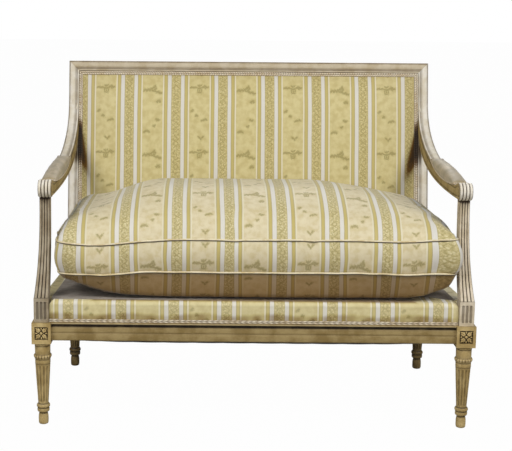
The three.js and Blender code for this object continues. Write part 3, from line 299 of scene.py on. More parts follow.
silkChoice = {
    "ground": "#D3C68F", "groundShade": "#C6B67C", "band": "#B9A766", "bandDark": "#998B50", "bandLight": "#D8CB97",
    "white": "#DAD6CC", "gold": "#C3B26D", "line": "#8E7F4A", "thin": "#DDD5B9", "sprig": "#8B8048",
    "sprigLight": "#BBAA6C", "paintedShade": "#94702C",
}
# The cushion takes a paler copy of the silk.
cushionSilk = dict(silkChoice, ground="#DCD0AE", groundShade="#D0C196", band="#BFAE74", bandLight="#DCD2A8", sprigLight="#C2B37C")
# Edges of the stripes as shares of one repeat: patterned band, white, gold, thin white, wide ground, and back again.
stripeShares = {
    "band": (0.0, 0.205), "whiteLeft": (0.205, 0.279), "goldLeft": (0.29, 0.342), "thinLeft": (0.356, 0.384),
    "thinRight": (0.816, 0.844), "goldRight": (0.858, 0.91), "whiteRight": (0.921, 1.0),
}
wideShares = (0.388, 0.812)
clothMm = {"repeat": 147.4, "sprigRepeat": 205.4}
# Marks of the two sprigs in one wide stripe: place across (share of the stripe), place up (share of the sprig's
# repeat), half length and half width in millimetres, and turn in degrees.
pendantMarks = [
    (0.10, 0.549, 5.0, 2.0, 20), (0.19, 0.544, 5.0, 2.0, -15), (0.28, 0.552, 4.0, 1.6, 10), (0.42, 0.541, 9.0, 1.2, -4),
    (0.60, 0.544, 8.0, 1.2, 5), (0.70, 0.556, 4.5, 2.2, 40), (0.80, 0.564, 4.5, 2.2, -30), (0.88, 0.549, 4.5, 2.0, 15),
    (0.78, 0.542, 4.0, 1.8, -60), (0.50, 0.572, 3.0, 1.6, 80), (0.58, 0.579, 3.0, 1.5, 50), (0.44, 0.576, 2.6, 1.4, -60),
    (0.42, 0.499, 1.4, 5.5, 6), (0.61, 0.499, 1.4, 5.5, -6), (0.515, 0.469, 5.0, 1.5, 0), (0.515, 0.524, 5.0, 1.3, 0),
    (0.515, 0.496, 2.0, 2.6, 0), (0.13, 0.182, 4.0, 2.6, 30), (0.18, 0.196, 2.6, 2.0, -40), (0.37, 0.112, 4.0, 2.4, -40),
    (0.32, 0.104, 2.4, 1.8, 30), (0.72, 0.042, 5.0, 2.4, 10), (0.84, 0.052, 4.0, 2.0, -35), (0.62, 0.034, 3.0, 1.8, 50),
    (0.585, 0.752, 2.0, 2.6, 10), (0.50, 0.776, 4.2, 1.9, -42), (0.67, 0.778, 4.2, 1.9, 42),
]
bouquetMarks = [
    (0.08, 0.500, 4.0, 2.2, 50), (0.15, 0.508, 4.0, 2.2, -40), (0.22, 0.500, 4.0, 2.4, 50), (0.29, 0.512, 4.0, 2.2, -30),
    (0.36, 0.505, 4.0, 2.4, 60), (0.43, 0.522, 4.0, 2.2, -20), (0.50, 0.532, 4.0, 2.2, 60), (0.57, 0.547, 4.5, 2.2, 75),
    (0.62, 0.562, 4.0, 2.0, 90), (0.66, 0.535, 4.0, 2.0, 100), (0.60, 0.510, 4.5, 2.2, 30), (0.50, 0.495, 5.0, 2.0, -10),
    (0.62, 0.484, 5.0, 2.0, -15), (0.74, 0.474, 5.0, 2.4, 20), (0.84, 0.464, 4.5, 2.6, -45), (0.92, 0.456, 3.4, 2.0, 30),
    (0.80, 0.337, 5.0, 2.6, 20), (0.74, 0.319, 3.4, 2.2, -30), (0.87, 0.322, 3.2, 2.0, 60), (0.78, 0.040, 5.0, 2.6, 8),
    (0.70, 0.050, 3.0, 2.0, 50), (0.57, 0.945, 3.4, 2.4, -35), (0.62, 0.956, 2.6, 1.8, 40), (0.22, 0.868, 6.0, 2.8, 4),
    (0.12, 0.860, 4.0, 2.4, 40), (0.31, 0.861, 3.6, 2.0, -40),
]


markSwell = (1.15, 1.35)  # the floats spread, so each mark is woven a little longer and wider than it was drawn


def sprigDistance(tree, across, up, marks):
    """Least of the distances to a set of leaf-shaped marks, each an ellipse whose own length and width are the units.
    The least so far rides along as a third place, flattened to nothing, so that the marks are worked out in turn."""
    wide = (wideShares[1] - wideShares[0]) * clothMm["repeat"]
    x, y = maths(tree, "MULTIPLY", across, wide), maths(tree, "MULTIPLY", up, clothMm["sprigRepeat"])
    least = 9.0
    for markX, markY, length, width, turn in marks:
        place = add(tree, "ShaderNodeCombineXYZ", X=x, Y=y, Z=least).outputs[0]
        mapping = add(tree, "ShaderNodeMapping", {"vector_type": "TEXTURE"}, Vector=place,
                      Location=(markX * wide, markY * clothMm["sprigRepeat"], 0), Rotation=(0, 0, math.radians(turn)),
                      Scale=(length * markSwell[0], width * markSwell[1], 1e6))
        away = add(tree, "ShaderNodeVectorMath", {"operation": "LENGTH"}, i0=mapping.outputs[0]).outputs["Value"]
        least = maths(tree, "MINIMUM", away, least)
    return least


def within(tree, value, shares, soft=0.006):
    """1 between two places across the repeat, with a soft edge."""
    low, high = shares
    rise = ramped(tree, value, low - soft / 2, low + soft / 2)
    fall = ramped(tree, value, high - soft / 2, high + soft / 2)
    return maths(tree, "SUBTRACT", rise, fall, clamp=True)


def stripedSilk(name, choice, paintedShade=1.0):
    """Silk lampas woven in stripes: fine ribs across give a soft satin sheen, floated sprigs and a lace-like band
    stand a little duller on the ground. The cloth's own map counts repeats of the stripes and of the sprigs."""
    material, tree, shader = startMaterial(name)
    cloth = add(tree, "ShaderNodeUVMap", {"uv_map": "cloth"}).outputs[0]
    place = add(tree, "ShaderNodeTexCoord").outputs["Object"]
    parts = add(tree, "ShaderNodeSeparateXYZ", Vector=cloth)
    wander = maths(tree, "MULTIPLY", maths(tree, "SUBTRACT", noise(tree, place, 9.0, 2.0), 0.5), 0.012)
    u = maths(tree, "ADD", parts.outputs[0], wander)
    across, up = maths(tree, "FRACT", u), maths(tree, "FRACT", parts.outputs[1])
    millimetres = add(tree, "ShaderNodeMapping", Vector=cloth, Scale=(clothMm["repeat"], clothMm["sprigRepeat"], 1)).outputs[0]

    fuzz = noise(tree, millimetres, 0.9, 3.0, 0.6)
    colour = mixed(tree, ramped(tree, noise(tree, millimetres, 0.05, 3.0), 0.35, 0.7), linear(choice["ground"]), linear(choice["groundShade"]))

    # sprigs: every other wide stripe has the pendant, the rest the bouquet
    wideAcross = maths(tree, "DIVIDE", maths(tree, "SUBTRACT", across, wideShares[0]), wideShares[1] - wideShares[0])
    isPendant = maths(tree, "LESS_THAN", maths(tree, "PINGPONG", maths(tree, "FLOOR", u), 1.0), 0.5)
    pendant = sprigDistance(tree, wideAcross, up, pendantMarks)
    bouquet = sprigDistance(tree, wideAcross, up, bouquetMarks)
    away = add(tree, "ShaderNodeMix", {"data_type": "FLOAT"}, i0=isPendant, i2=bouquet, i3=pendant).outputs[0]
    broken = maths(tree, "MULTIPLY", maths(tree, "SUBTRACT", noise(tree, millimetres, 0.3, 2.0, 0.6), 0.5), 2.6)
    ragged = maths(tree, "ADD", maths(tree, "ADD", away, broken), maths(tree, "MULTIPLY", maths(tree, "SUBTRACT", fuzz, 0.5), 1.4))
    inWide = within(tree, across, wideShares)
    halo = maths(tree, "MULTIPLY", maths(tree, "SUBTRACT", 1.0, ramped(tree, ragged, 0.9, 2.6)), inWide)
    mark = maths(tree, "MULTIPLY", maths(tree, "SUBTRACT", 1.0, ramped(tree, ragged, 0.5, 1.7)), inWide)
    colour = mixed(tree, maths(tree, "MULTIPLY", halo, 0.45), colour, linear(choice["sprigLight"]))
    colour = mixed(tree, maths(tree, "MULTIPLY", mark, 0.6), colour, linear(choice["sprig"]))

    # lace band: two waving stems that cross, small round flowers between, and a mesh of cells behind
    inBand = within(tree, across, stripeShares["band"])
    wave = maths(tree, "MULTIPLY", maths(tree, "SINE", maths(tree, "MULTIPLY", parts.outputs[1], 2 * math.pi * 7)), 0.05)
    left = maths(tree, "ABSOLUTE", maths(tree, "SUBTRACT", maths(tree, "ADD", across, wave), 0.102))
    rightStem = maths(tree, "ABSOLUTE", maths(tree, "SUBTRACT", maths(tree, "SUBTRACT", across, wave), 0.102))
    stems = maths(tree, "SUBTRACT", 1.0, ramped(tree, maths(tree, "MINIMUM", left, rightStem), 0.008, 0.024))
    cells = add(tree, "ShaderNodeTexVoronoi", {"feature": "F1"}, Vector=millimetres, Scale=0.16, Randomness=0.8).outputs["Distance"]
    petals = maths(tree, "SUBTRACT", 1.0, ramped(tree, cells, 0.25, 0.5))
    blotch = ramped(tree, noise(tree, millimetres, 0.22, 2.0, 0.6), 0.42, 0.62)
    bandColour = mixed(tree, ramped(tree, fuzz, 0.38, 0.66), linear(choice["band"]), linear(choice["bandLight"]))
    bandColour = mixed(tree, maths(tree, "MULTIPLY", blotch, 0.5), bandColour, linear(choice["bandDark"]))
    bandColour = mixed(tree, maths(tree, "MULTIPLY", stems, 0.5), bandColour, linear(choice["bandDark"]))
    bandColour = mixed(tree, maths(tree, "MULTIPLY", petals, 0.75), bandColour, linear(choice["bandLight"]))
    edge = maths(tree, "SUBTRACT", 1.0, maths(tree, "SUBTRACT", ramped(tree, across, 0.0, 0.018), ramped(tree, across, 0.187, 0.205)))
    bandColour = mixed(tree, maths(tree, "MULTIPLY", edge, 0.6), bandColour, linear(choice["bandDark"]))
    colour = mixed(tree, inBand, colour, bandColour)

    for stripe in ("whiteLeft", "whiteRight"):
        colour = mixed(tree, within(tree, across, stripeShares[stripe]), colour, linear(choice["white"]))
    for stripe in ("goldLeft", "goldRight"):
        low, high = stripeShares[stripe]
        colour = mixed(tree, maths(tree, "MULTIPLY", within(tree, across, (low - 0.009, high + 0.009)), 0.7), colour, linear(choice["line"]))
        colour = mixed(tree, within(tree, across, (low, high)), colour, linear(choice["gold"]))
    for stripe in ("thinLeft", "thinRight"):
        colour = mixed(tree, within(tree, across, stripeShares[stripe]), colour, linear(choice["thin"]))

    # slight shading of the threads, then painted shade and painted light carried by the glaze attribute
    threads = noise(tree, add(tree, "ShaderNodeMapping", Vector=millimetres, Scale=(1.2, 0.05, 1)).outputs[0], 1.0, 3.0, 0.7)
    colour = mixed(tree, maths(tree, "MULTIPLY", ramped(tree, threads, 0.5, 0.78), 0.22), colour, linear(choice["line"]))
    paintedShading = add(tree, "ShaderNodeAttribute", {"attribute_name": "glaze"}).outputs["Fac"]
    shadedShare = maths(tree, "MULTIPLY", paintedShading, paintedShade, clamp=True)
    colour = mixed(tree, shadedShare, colour, mixed(tree, 1.0, colour, linear(choice["paintedShade"]), "MULTIPLY"))
    colour = mixed(tree, maths(tree, "SUBTRACT", paintedShading, 1.0, clamp=True), colour, linear("#2A1E10"))  # painted black shade
    paintedLightShare = maths(tree, "MULTIPLY", paintedShading, -1.0, clamp=True)
    colour = mixed(tree, paintedLightShare, colour, linear("#F6EFD2"))  # below zero the cloth is painted paler to stand in for light
    tree.links.new(colour, shader.inputs["Base Color"])

    ribs = maths(tree, "SINE", maths(tree, "MULTIPLY", parts.outputs[1], 2 * math.pi * clothMm["sprigRepeat"] / 1.1))  # real ribs are 0.4 mm apart, drawn at 1.1 mm to show
    slubs = noise(tree, add(tree, "ShaderNodeMapping", Vector=millimetres, Scale=(0.05, 1.1, 1)).outputs[0], 1.0, 2.0, 0.6)
    height = maths(tree, "ADD", maths(tree, "MULTIPLY", ribs, 0.18), maths(tree, "ADD", slubs, maths(tree, "MULTIPLY", mark, 0.5)))
    bumped(tree, shader, height, 0.22, 0.0006)
    rough = maths(tree, "ADD", 0.46, maths(tree, "MULTIPLY", maths(tree, "ADD", mark, inBand, clamp=True), 0.14))
    tree.links.new(rough, shader.inputs["Roughness"])
    shader.inputs["Specular IOR Level"].default_value = 0.35
    shader.inputs["Sheen Weight"].default_value = 0.25
    shader.inputs["Sheen Roughness"].default_value = 0.45
    return material


def plainCloth(name, light, dark, threadMm, roughness, strength=0.5, sheen=0.15):
    """Plain woven cloth: crossing threads as two sets of waves, with soft patches of wear."""
    material, tree, shader = startMaterial(name)
    place = add(tree, "ShaderNodeTexCoord").outputs["Object"]
    waves = []
    for axis in ("X", "Y", "Z"):
        waves.append(add(tree, "ShaderNodeTexWave", {"bands_direction": axis, "wave_profile": "SIN"}, Vector=place,
                         Scale=1000 / threadMm / 20, Distortion=1.2, Detail=1.0, Detail_Scale=3.0).outputs["Fac"])
    weave = maths(tree, "MULTIPLY", maths(tree, "ADD", maths(tree, "ADD", waves[0], waves[1]), waves[2]), 0.33)
    patches = noise(tree, place, 26.0, 4.0, 0.6)
    slubs = noise(tree, place, 300.0, 3.0, 0.7)
    colour = mixed(tree, ramped(tree, patches, 0.35, 0.68), linear(light), linear(dark))
    colour = mixed(tree, maths(tree, "MULTIPLY", ramped(tree, weave, 0.35, 0.7), 0.3), colour, linear(dark))
    colour = mixed(tree, maths(tree, "MULTIPLY", ramped(tree, slubs, 0.5, 0.75), 0.3), colour, linear(dark))
    tree.links.new(colour, shader.inputs["Base Color"])
    shader.inputs["Roughness"].default_value = roughness
    shader.inputs["Specular IOR Level"].default_value = 0.25
    shader.inputs["Sheen Weight"].default_value = sheen
    bumped(tree, shader, maths(tree, "ADD", weave, slubs), strength, 0.0005)
    return material


def twistedGimp(name):
    """Gimp of cream and rose-brown silk cord: the strands catch the light and the hollows between hold dirt."""
    material, tree, shader = startMaterial(name)
    place = add(tree, "ShaderNodeTexCoord").outputs["Object"]
    deep = add(tree, "ShaderNodeAttribute", {"attribute_name": "glaze"}).outputs["Fac"]
    fuzz = noise(tree, place, 700.0, 3.0, 0.7)
    tone = noise(tree, place, 60.0, 3.0, 0.6)
    colour = mixed(tree, ramped(tree, tone, 0.35, 0.7), linear("#EFE6D0"), linear("#D9C7A4"))
    colour = mixed(tree, maths(tree, "MULTIPLY", ramped(tree, fuzz, 0.45, 0.7), 0.4), colour, linear("#C2A67C"))
    colour = mixed(tree, maths(tree, "MINIMUM", deep, 1.0), colour, linear("#6E5230"))
    colour = mixed(tree, maths(tree, "SUBTRACT", deep, 1.0, clamp=True), colour, linear("#2A1E10"))  # painted black shadow by the arms
    tree.links.new(colour, shader.inputs["Base Color"])
    shader.inputs["Roughness"].default_value = 0.7
    shader.inputs["Sheen Weight"].default_value = 0.2
    bumped(tree, shader, fuzz, 0.4, 0.0004)
    return material


def pipingSilk(name):
    """Bias strip of the same silk drawn over cord: pale on top, with painted shade along its lower side."""
    material, tree, shader = startMaterial(name)
    place = add(tree, "ShaderNodeTexCoord").outputs["Object"]
    under = add(tree, "ShaderNodeAttribute", {"attribute_name": "glaze"}).outputs["Fac"]
    threads = noise(tree, place, 420.0, 3.0, 0.65)
    worn = noise(tree, place, 34.0, 3.0, 0.6)
    colour = mixed(tree, ramped(tree, worn, 0.38, 0.68), linear("#E4DABB"), linear("#CDBA8A"))
    colour = mixed(tree, maths(tree, "MULTIPLY", ramped(tree, threads, 0.45, 0.72), 0.35), colour, linear("#B09A66"))
    # painted shade on the lower side of the cord
    colour = mixed(tree, under, colour, linear("#38250F"))
    tree.links.new(colour, shader.inputs["Base Color"])
    shader.inputs["Roughness"].default_value = 0.55
    shader.inputs["Sheen Weight"].default_value = 0.2
    bumped(tree, shader, threads, 0.3, 0.0004)
    return material


def bareBeech(name):
    """Planed beech left bare inside the seat: pale brown with short dark flecks along the grain."""
    material, tree, shader = startMaterial(name)
    streaked, place = stretchedPlace(tree, (1, 0.1, 1))
    grain = noise(tree, streaked, 120.0, 5.0, 0.65)
    flecks = noise(tree, streaked, 500.0, 2.0, 0.5)
    colour = mixed(tree, ramped(tree, grain, 0.35, 0.7), linear("#C9A878"), linear("#A98452"))
    colour = mixed(tree, maths(tree, "MULTIPLY", ramped(tree, flecks, 0.62, 0.72), 0.5), colour, linear("#7A5A34"))
    tree.links.new(colour, shader.inputs["Base Color"])
    shader.inputs["Roughness"].default_value = 0.65
    bumped(tree, shader, grain, 0.2, 0.0004)
    return material


def copperedSteel(name):
    """Spring wire drawn and coppered: a metal with faint rings of tarnish."""
    material, tree, shader = startMaterial(name)
    place = add(tree, "ShaderNodeTexCoord").outputs["Object"]
    tarnish = noise(tree, place, 90.0, 4.0, 0.6)
    tree.links.new(mixed(tree, ramped(tree, tarnish, 0.4, 0.7), linear("#B98A5C"), linear("#6E5138")), shader.inputs["Base Color"])
    shader.inputs["Metallic"].default_value = 0.9
    tree.links.new(maths(tree, "MULTIPLY_ADD", tarnish, 0.3, 0.28), shader.inputs["Roughness"])
    return material


finishes["paintUpright"] = (paintedBeech("paintedBeechPaleUpright", paintChoice["pale"], "z"), "painted_wood")
finishes["paintLying"] = (paintedBeech("paintedBeechBrownedLying", paintChoice["brown"], "x"), "painted_wood")
finishes["paintArm"] = (paintedBeech("paintedBeechPaleArm", paintChoice["pale"], "y"), "painted_wood")
finishes["darkerLeftUpright"] = (paintedBeech("paintedBeechDarkerLeftUpright", paintChoice["worn"], "z"), "painted_wood")
finishes["softUpright"] = (paintedBeech("paintedBeechSoftUpright", paintChoice["soft"], "z"), "painted_wood")
# The rear legs' dark paint is painted shade.
finishes["shadeDarkUpright"] = (paintedBeech("glazedBeechShadeDarkUpright", paintChoice["dark"], "z"), "glazed_wood")
finishes["warmUpright"] = (paintedBeech("glazedBeechWarmUpright", paintChoice["warm"], "z"), "glazed_wood")
finishes["warmLying"] = (paintedBeech("glazedBeechWarmLying", paintChoice["rail"], "x"), "glazed_wood")
finishes["warmSide"] = (paintedBeech("glazedBeechWarmSide", paintChoice["rail"], "y"), "glazed_wood")
finishes["silk"] = (stripedSilk("stripedSilkLampas", silkChoice), "striped_silk")
finishes["cushionSilk"] = (stripedSilk("stripedSilkLampasPaler", cushionSilk), "striped_silk")
finishes["padSilk"] = (plainCloth("taupeSilkRep", "#B5A587", "#928468", 2.0, 0.5, 0.35, 0.3), "pad_silk")
finishes["gimp"] = (twistedGimp("twistedSilkGimp"), "braid")
finishes["piping"] = (pipingSilk("creamSilkPiping"), "striped_silk")
finishes["cotton"] = (plainCloth("greyCottonPlatform", "#A39A8E", "#857B70", 1.6, 0.85), "cotton")
finishes["cambric"] = (plainCloth("blackCambric", "#1F1C19", "#12100E", 1.4, 0.9), "cambric")
finishes["jute"] = (plainCloth("juteWebbing", "#B3935F", "#7E6238", 2.5, 0.9, 0.8), "jute")
finishes["hair"] = (plainCloth("curledHairInScrim", "#7B684F", "#4E402F", 3.0, 0.95, 0.8), "hair")
finishes["down"] = (plainCloth("downproofCotton", "#E6E0D2", "#CFC7B6", 1.2, 0.85), "down")
finishes["beech"] = (bareBeech("planedBeech"), "bare_beech")
finishes["springWire"] = (copperedSteel("copperedSpringWire"), "spring_steel")
print("materials made")


# Turned legs
legShape = {
    "flutes": 12, "fluteDepth": 2.0, "fluteLow": 62.0, "fluteHigh": 170.0, "sides": 144,
    "beads": 18, "beadDepth": 1.3, "collarMiddle": 193.6,
}
# Outline of the turned leg from the floor up: radius, height and how much glaze it holds.
legRows = [
    (0.2, 0.0, 0.3), (9.2, 0.0, 0.3), (11.8, 1.2, 0.2), (13.1, 3.6, 0.1), (13.5, 8.0, 0.0), (13.6, 15.0, 0.0),
    (13.4, 23.0, 0.0), (12.6, 29.0, 0.1), (11.6, 32.0, 0.7), (11.6, 34.2, 0.9), (13.4, 35.0, 0.6), (15.4, 36.2, 0.1),
    (16.5, 38.6, 0.0), (16.7, 42.0, 0.0), (16.4, 45.2, 0.2), (15.8, 46.6, 0.8), (15.8, 47.8, 0.9), (16.8, 48.8, 0.5),
    (18.0, 50.4, 0.1), (18.3, 53.0, 0.0), (17.8, 55.8, 0.1), (16.2, 57.8, 0.4), (14.9, 59.0, 0.9), (14.5, 60.6, 0.6),
    (14.4, 62.5, 0.1), (15.2, 78.0, 0.0), (16.3, 98.0, 0.0), (17.8, 122.0, 0.0), (19.2, 146.0, 0.0), (20.2, 166.0, 0.0),
    (20.5, 171.0, 0.1), (20.3, 172.0, 0.6), (20.3, 173.2, 0.6), (20.9, 174.0, 0.1), (20.9, 180.0, 0.0), (20.9, 184.6, 0.2),
    (20.6, 185.8, 0.9), (21.4, 187.0, 0.5), (22.4, 188.2, 0.1), (22.8, 190.0, 0.2), (23.2, 191.0, 0.5), (24.3, 192.2, 0.1),
    (24.8, 194.4, 0.0), (24.3, 196.6, 0.1), (22.8, 198.4, 0.3), (21.4, 199.6, 0.7), (21.0, 201.0, 0.3), (21.0, 211.0, 0.0),
    (21.1, 219.0, 0.0), (21.3, 221.6, 0.1), (20.9, 222.8, 0.6), (20.4, 223.6, 0.8), (21.4, 224.6, 0.2), (22.4, 226.4, 0.0),
    (22.4, 228.0, 0.0), (21.4, 229.8, 0.3), (20.2, 230.8, 0.9), (20.2, 232.6, 0.9), (20.2, 235.0, 0.8), (0.2, 235.0, 0.8),
]


def turnedLeg(x, y):
    """A profile turned round the leg's axis. On the shaft the radius drops in twelve flutes, each a half circle
    across with round ends; round the upper collar it swells in beads, each a half circle along the ring."""
    rows = np.array(legRows)
    run = np.concatenate([[0], np.cumsum(np.hypot(np.diff(rows[:, 0]), np.diff(rows[:, 1])))])
    low, high = legShape["fluteLow"], legShape["fluteHigh"]
    extra = np.interp(np.arange(low, high + 1, 1.5), rows[24:31, 1], run[24:31])
    along = np.unique(np.concatenate([run, extra]))
    radius, height, glaze = (np.interp(along, run, rows[:, k]) for k in (0, 1, 2))
    angle = np.linspace(0, 2 * np.pi, legShape["sides"], endpoint=False)
    phase = (angle / (2 * np.pi) * legShape["flutes"]) % 1 - 0.5
    hollow = np.sqrt(np.clip(1 - (phase / 0.33) ** 2, 0, 1))[None, :]
    ends = (smooth((height - low) / 6) * smooth((high - height) / 5))[:, None]
    collar = np.exp(-((height - legShape["collarMiddle"]) / 4.2) ** 2)[:, None]
    bead = 1 - np.abs(np.cos(angle * legShape["beads"] / 2))[None, :] ** 0.8
    r = radius[:, None] - legShape["fluteDepth"] * ends * hollow - legShape["beadDepth"] * collar * bead
    worn = 0.75 + 0.25 * np.sin(height / 7 + 2)[:, None] * np.sin(angle * 5 + height[:, None] / 19)
    # On the collar the glaze rises between the beads and goes below zero on their crests: rubbed pale, with a painted
    # highlight.
    held = glaze[:, None] + 0.55 * worn * ends * smooth(hollow * 1.2) + collar * (1.4 * bead - 0.45)
    z = np.broadcast_to(height[:, None], r.shape)
    points = np.stack([x + r * np.cos(angle), y + r * np.sin(angle), z], -1)
    return grid(points, np.clip(held, -0.5, 1), loopU=True, capped=True)


def rosetteRelief(u, v, half):
    """Depth below the face and glaze of a square sunk panel: four petals on the diagonals, whose reach goes with the
    sine of twice the angle, a small leaf between each two, and a domed boss in a deep ring."""
    away = np.hypot(u, v)
    turn = np.arctan2(v, u)
    panel = smooth((half - np.maximum(np.abs(u), np.abs(v))) / 1.4 + 0.5)
    lobes = np.abs(np.sin(2 * turn))
    reach = half * (0.16 + 1.04 * lobes ** 1.3 + 0.12 * np.cos(16 * turn))
    petal = np.sqrt(np.clip(1 - (away / reach) ** 2, 0, 1))
    crease = np.exp(-(np.minimum(np.abs(u - v), np.abs(u + v)) / 1.0) ** 2) * smooth((away - 7.0) / 2) * smooth((17.0 - away) / 3)
    leaf = np.zeros_like(u)
    for a, b in ((1, 0), (-1, 0), (0, 1), (0, -1)):
        along, side = u * a + v * b - half * 0.76, u * b - v * a
        leaf = np.maximum(leaf, np.sqrt(np.clip(1 - (along / 3.6) ** 2 - (side / 2.2) ** 2, 0, 1)))
    boss = np.sqrt(np.clip(1 - (away / 4.2) ** 2, 0, 1)) * 1.15
    ring = np.exp(-((away - 5.6) / 1.1) ** 2)
    height = np.maximum(np.maximum(petal * smooth((away - 4.5) / 2) - 0.5 * crease, 0.75 * leaf), boss) - 0.6 * ring
    depth = panel * (4.2 - 4.2 * np.clip(height, 0, 1))
    # Below zero on the raised petals and boss: rubbed pale, with a painted highlight.
    held = panel * (1.1 * smooth((0.55 - height) / 0.5) - 0.9 * smooth((height - 0.6) / 0.3))
    return depth, np.clip(held, -1, 1)


def fluteRelief(u, v, halfWidth, low, high, count=3):
    """Depth and glaze of upright flutes with round ends: each flute is a half ellipse across."""
    pitch = 2 * halfWidth / count
    phase = (u + halfWidth) / pitch % 1 - 0.5
    inside = (np.abs(u) < halfWidth)
    radius = pitch * 0.36
    beyond = np.maximum(np.maximum(low + radius - v, v - high + radius), 0)
    away = np.hypot(phase * pitch, beyond) / radius
    hollow = np.sqrt(np.clip(1 - away ** 2, 0, 1)) * inside
    return 2.6 * hollow, 0.6 * smooth(hollow * 1.3)


def carvedFace(corner, acrossAxis, upAxis, inwardAxis, width, height, relief=None, cells=8):
    """One face of a block: a flat grid pushed inwards by the relief."""
    u = np.linspace(-width / 2, width / 2, cells + 1)[None, :]
    v = np.linspace(-height / 2, height / 2, int(cells * height / width) + 1)[:, None]
    u, v = np.broadcast_arrays(u, v)
    depth, held = relief(u, v) if relief else (np.zeros(u.shape), np.zeros(u.shape))
    rim = np.minimum(width / 2 - np.abs(u), height / 2 - np.abs(v))
    held = np.maximum(held, 0.25 * (rim < 0.01))
    axes = [np.array(a, float) for a in (acrossAxis, upAxis, inwardAxis)]
    points = np.array(corner, float) + u[..., None] * axes[0] + v[..., None] * axes[1] + depth[..., None] * axes[2]
    return grid(points, held)


def carvedBlock(xs, ys, zs, front=None, outer=None, cells=8):
    """A square block from six faces that share their edges; the front and the outer side may be carved."""
    middle = [(a + b) / 2 for a, b in (xs, ys, zs)]
    w, d, h = xs[1] - xs[0], ys[1] - ys[0], zs[1] - zs[0]
    return [
        carvedFace((middle[0], ys[0], middle[2]), (1, 0, 0), (0, 0, 1), (0, 1, 0), w, h, front, cells if front else 2),
        carvedFace((middle[0], ys[1], middle[2]), (-1, 0, 0), (0, 0, 1), (0, -1, 0), w, h, None, 2),
        carvedFace((xs[1], middle[1], middle[2]), (0, 1, 0), (0, 0, 1), (-1, 0, 0), d, h, outer, cells if outer else 2),
        carvedFace((xs[0], middle[1], middle[2]), (0, -1, 0), (0, 0, 1), (1, 0, 0), d, h, None, 2),
        carvedFace((middle[0], middle[1], zs[1]), (1, 0, 0), (0, 1, 0), (0, 0, -1), w, d, None, 2),
        carvedFace((middle[0], middle[1], zs[0]), (1, 0, 0), (0, -1, 0), (0, 0, 1), w, d, None, 2),
    ]


def rosette(u, v):
    return rosetteRelief(u, v, 17.6)


def frontLegParts():
    x, half = layout["frontLegX"], layout["frontBlock"] / 2
    leg = turnedLeg(x, 0)
    block = carvedBlock((x - half, x + half), (-half, half), (layout["turnedHeight"], layout["railTop"]), rosette, rosette, 74)
    return [leg, *block]


def addPair(name, parts, finish, node, **kwargs):
    """The right-hand piece and its mirror image on the left."""
    rightFinish, leftFinish = finish if isinstance(finish, tuple) else (finish, finish)
    right = addPiece(name + "Right", parts, rightFinish, replaces=[node + "_right"], **kwargs)
    left = addPiece(name + "Left", [mirroredPart(p) for p in parts], leftFinish, replaces=[node + "_left"], **kwargs)
    return right, left


addPair("frontLeg", frontLegParts(), "warmUpright", "front_leg")
print("front legs made")


# Back frame: one moulding carried round the top corners, and down both stiles
# Moulding across the face: distance in from the outer edge, depth below the face, glaze; below zero the coat is rubbed
# pale with a painted highlight.
backMoulding = [
    (0.0, 5.6, 0.5), (0.0, 3.0, 0.6), (0.6, 1.8, 0.6), (1.6, 1.3, 0.5), (2.6, 1.5, 0.6), (3.2, 2.0, 0.75), (3.9, 1.2, 0.3),
    (5.0, 0.6, 0.0), (8.0, 0.1, -0.15), (12.0, 0.0, -0.2), (16.0, 0.2, -0.1), (18.6, 0.8, 0.15), (20.4, 1.8, 0.35),
    (22.0, 2.6, 0.5), (23.8, 3.0, 0.5), (25.2, 2.8, 0.55), (25.8, 3.3, 0.8), (26.4, 2.3, 0.3), (27.2, 1.4, -0.1),
    (28.6, 1.1, -0.2), (30.0, 1.4, 0.1), (31.0, 2.3, 0.5), (31.7, 3.6, 0.95), (32.0, 5.0, 1.0), (32.0, 6.0, 1.0), (42.0, 6.0, 0.7),
]


def backSection():
    """Closed section of a back member: inward distance, depth in the member (front negative) and glaze."""
    face = [(inward, depth - halfBack, held) for inward, depth, held in backMoulding]
    rear = [(42.0, halfBack - 5.0, 0.3), (32.0, halfBack - 5.0, 0.6), (32.0, halfBack - 0.8, 0.2), (31.2, halfBack, 0.0),
            (16.0, halfBack, 0.0), (1.2, halfBack, 0.0), (0.0, halfBack - 1.2, 0.1)]
    return np.array(face + rear)


def armShadow(z):
    """1 just below the arm's joint with the stile, where the arm's painted shadow falls, and 0 well above and below it.
    """
    return smooth((505 - z) / 50) * smooth((z - 345) / 50)


def armShadowWedge(x, z, half):
    """The same painted shadow on the panel: a wedge that leans inwards on its way down, soft along its inner side."""
    fromEdge = half - np.abs(x)
    reach = np.where(x < 0, (505 - z) * 0.22, (490 - z) * 0.3)
    left = (372 - z) * 0.5
    soft = 9 + 0.09 * np.clip(500 - z, 0, 200)
    return smooth((reach + 6 - fromEdge) / soft) * smooth((fromEdge - left + 8) / 20) * smooth((z - 285) / 100) * smooth((505 - z) / 20)


def stileParts():
    section = backSection()
    share = np.linspace(0, 1, 60)[:, None]
    foot = -6.0
    z = foot + (stileLength - section[None, :, 0] - foot) * share
    x = np.broadcast_to(stileOuterX - section[:, 0], z.shape)
    y = np.broadcast_to(section[:, 1], z.shape)
    points = tilted(np.stack([x, y, z], -1))
    # glaze on the front of the stile's inner half below the arm is the arm's painted shadow
    held = section[None, :, 2] + 1.0 * armShadow(z) * smooth((section[None, :, 0] - 17) / 8) * (section[None, :, 1] < 0)
    return grid(points, np.clip(held, -1, 1), loopU=True, capped=True)


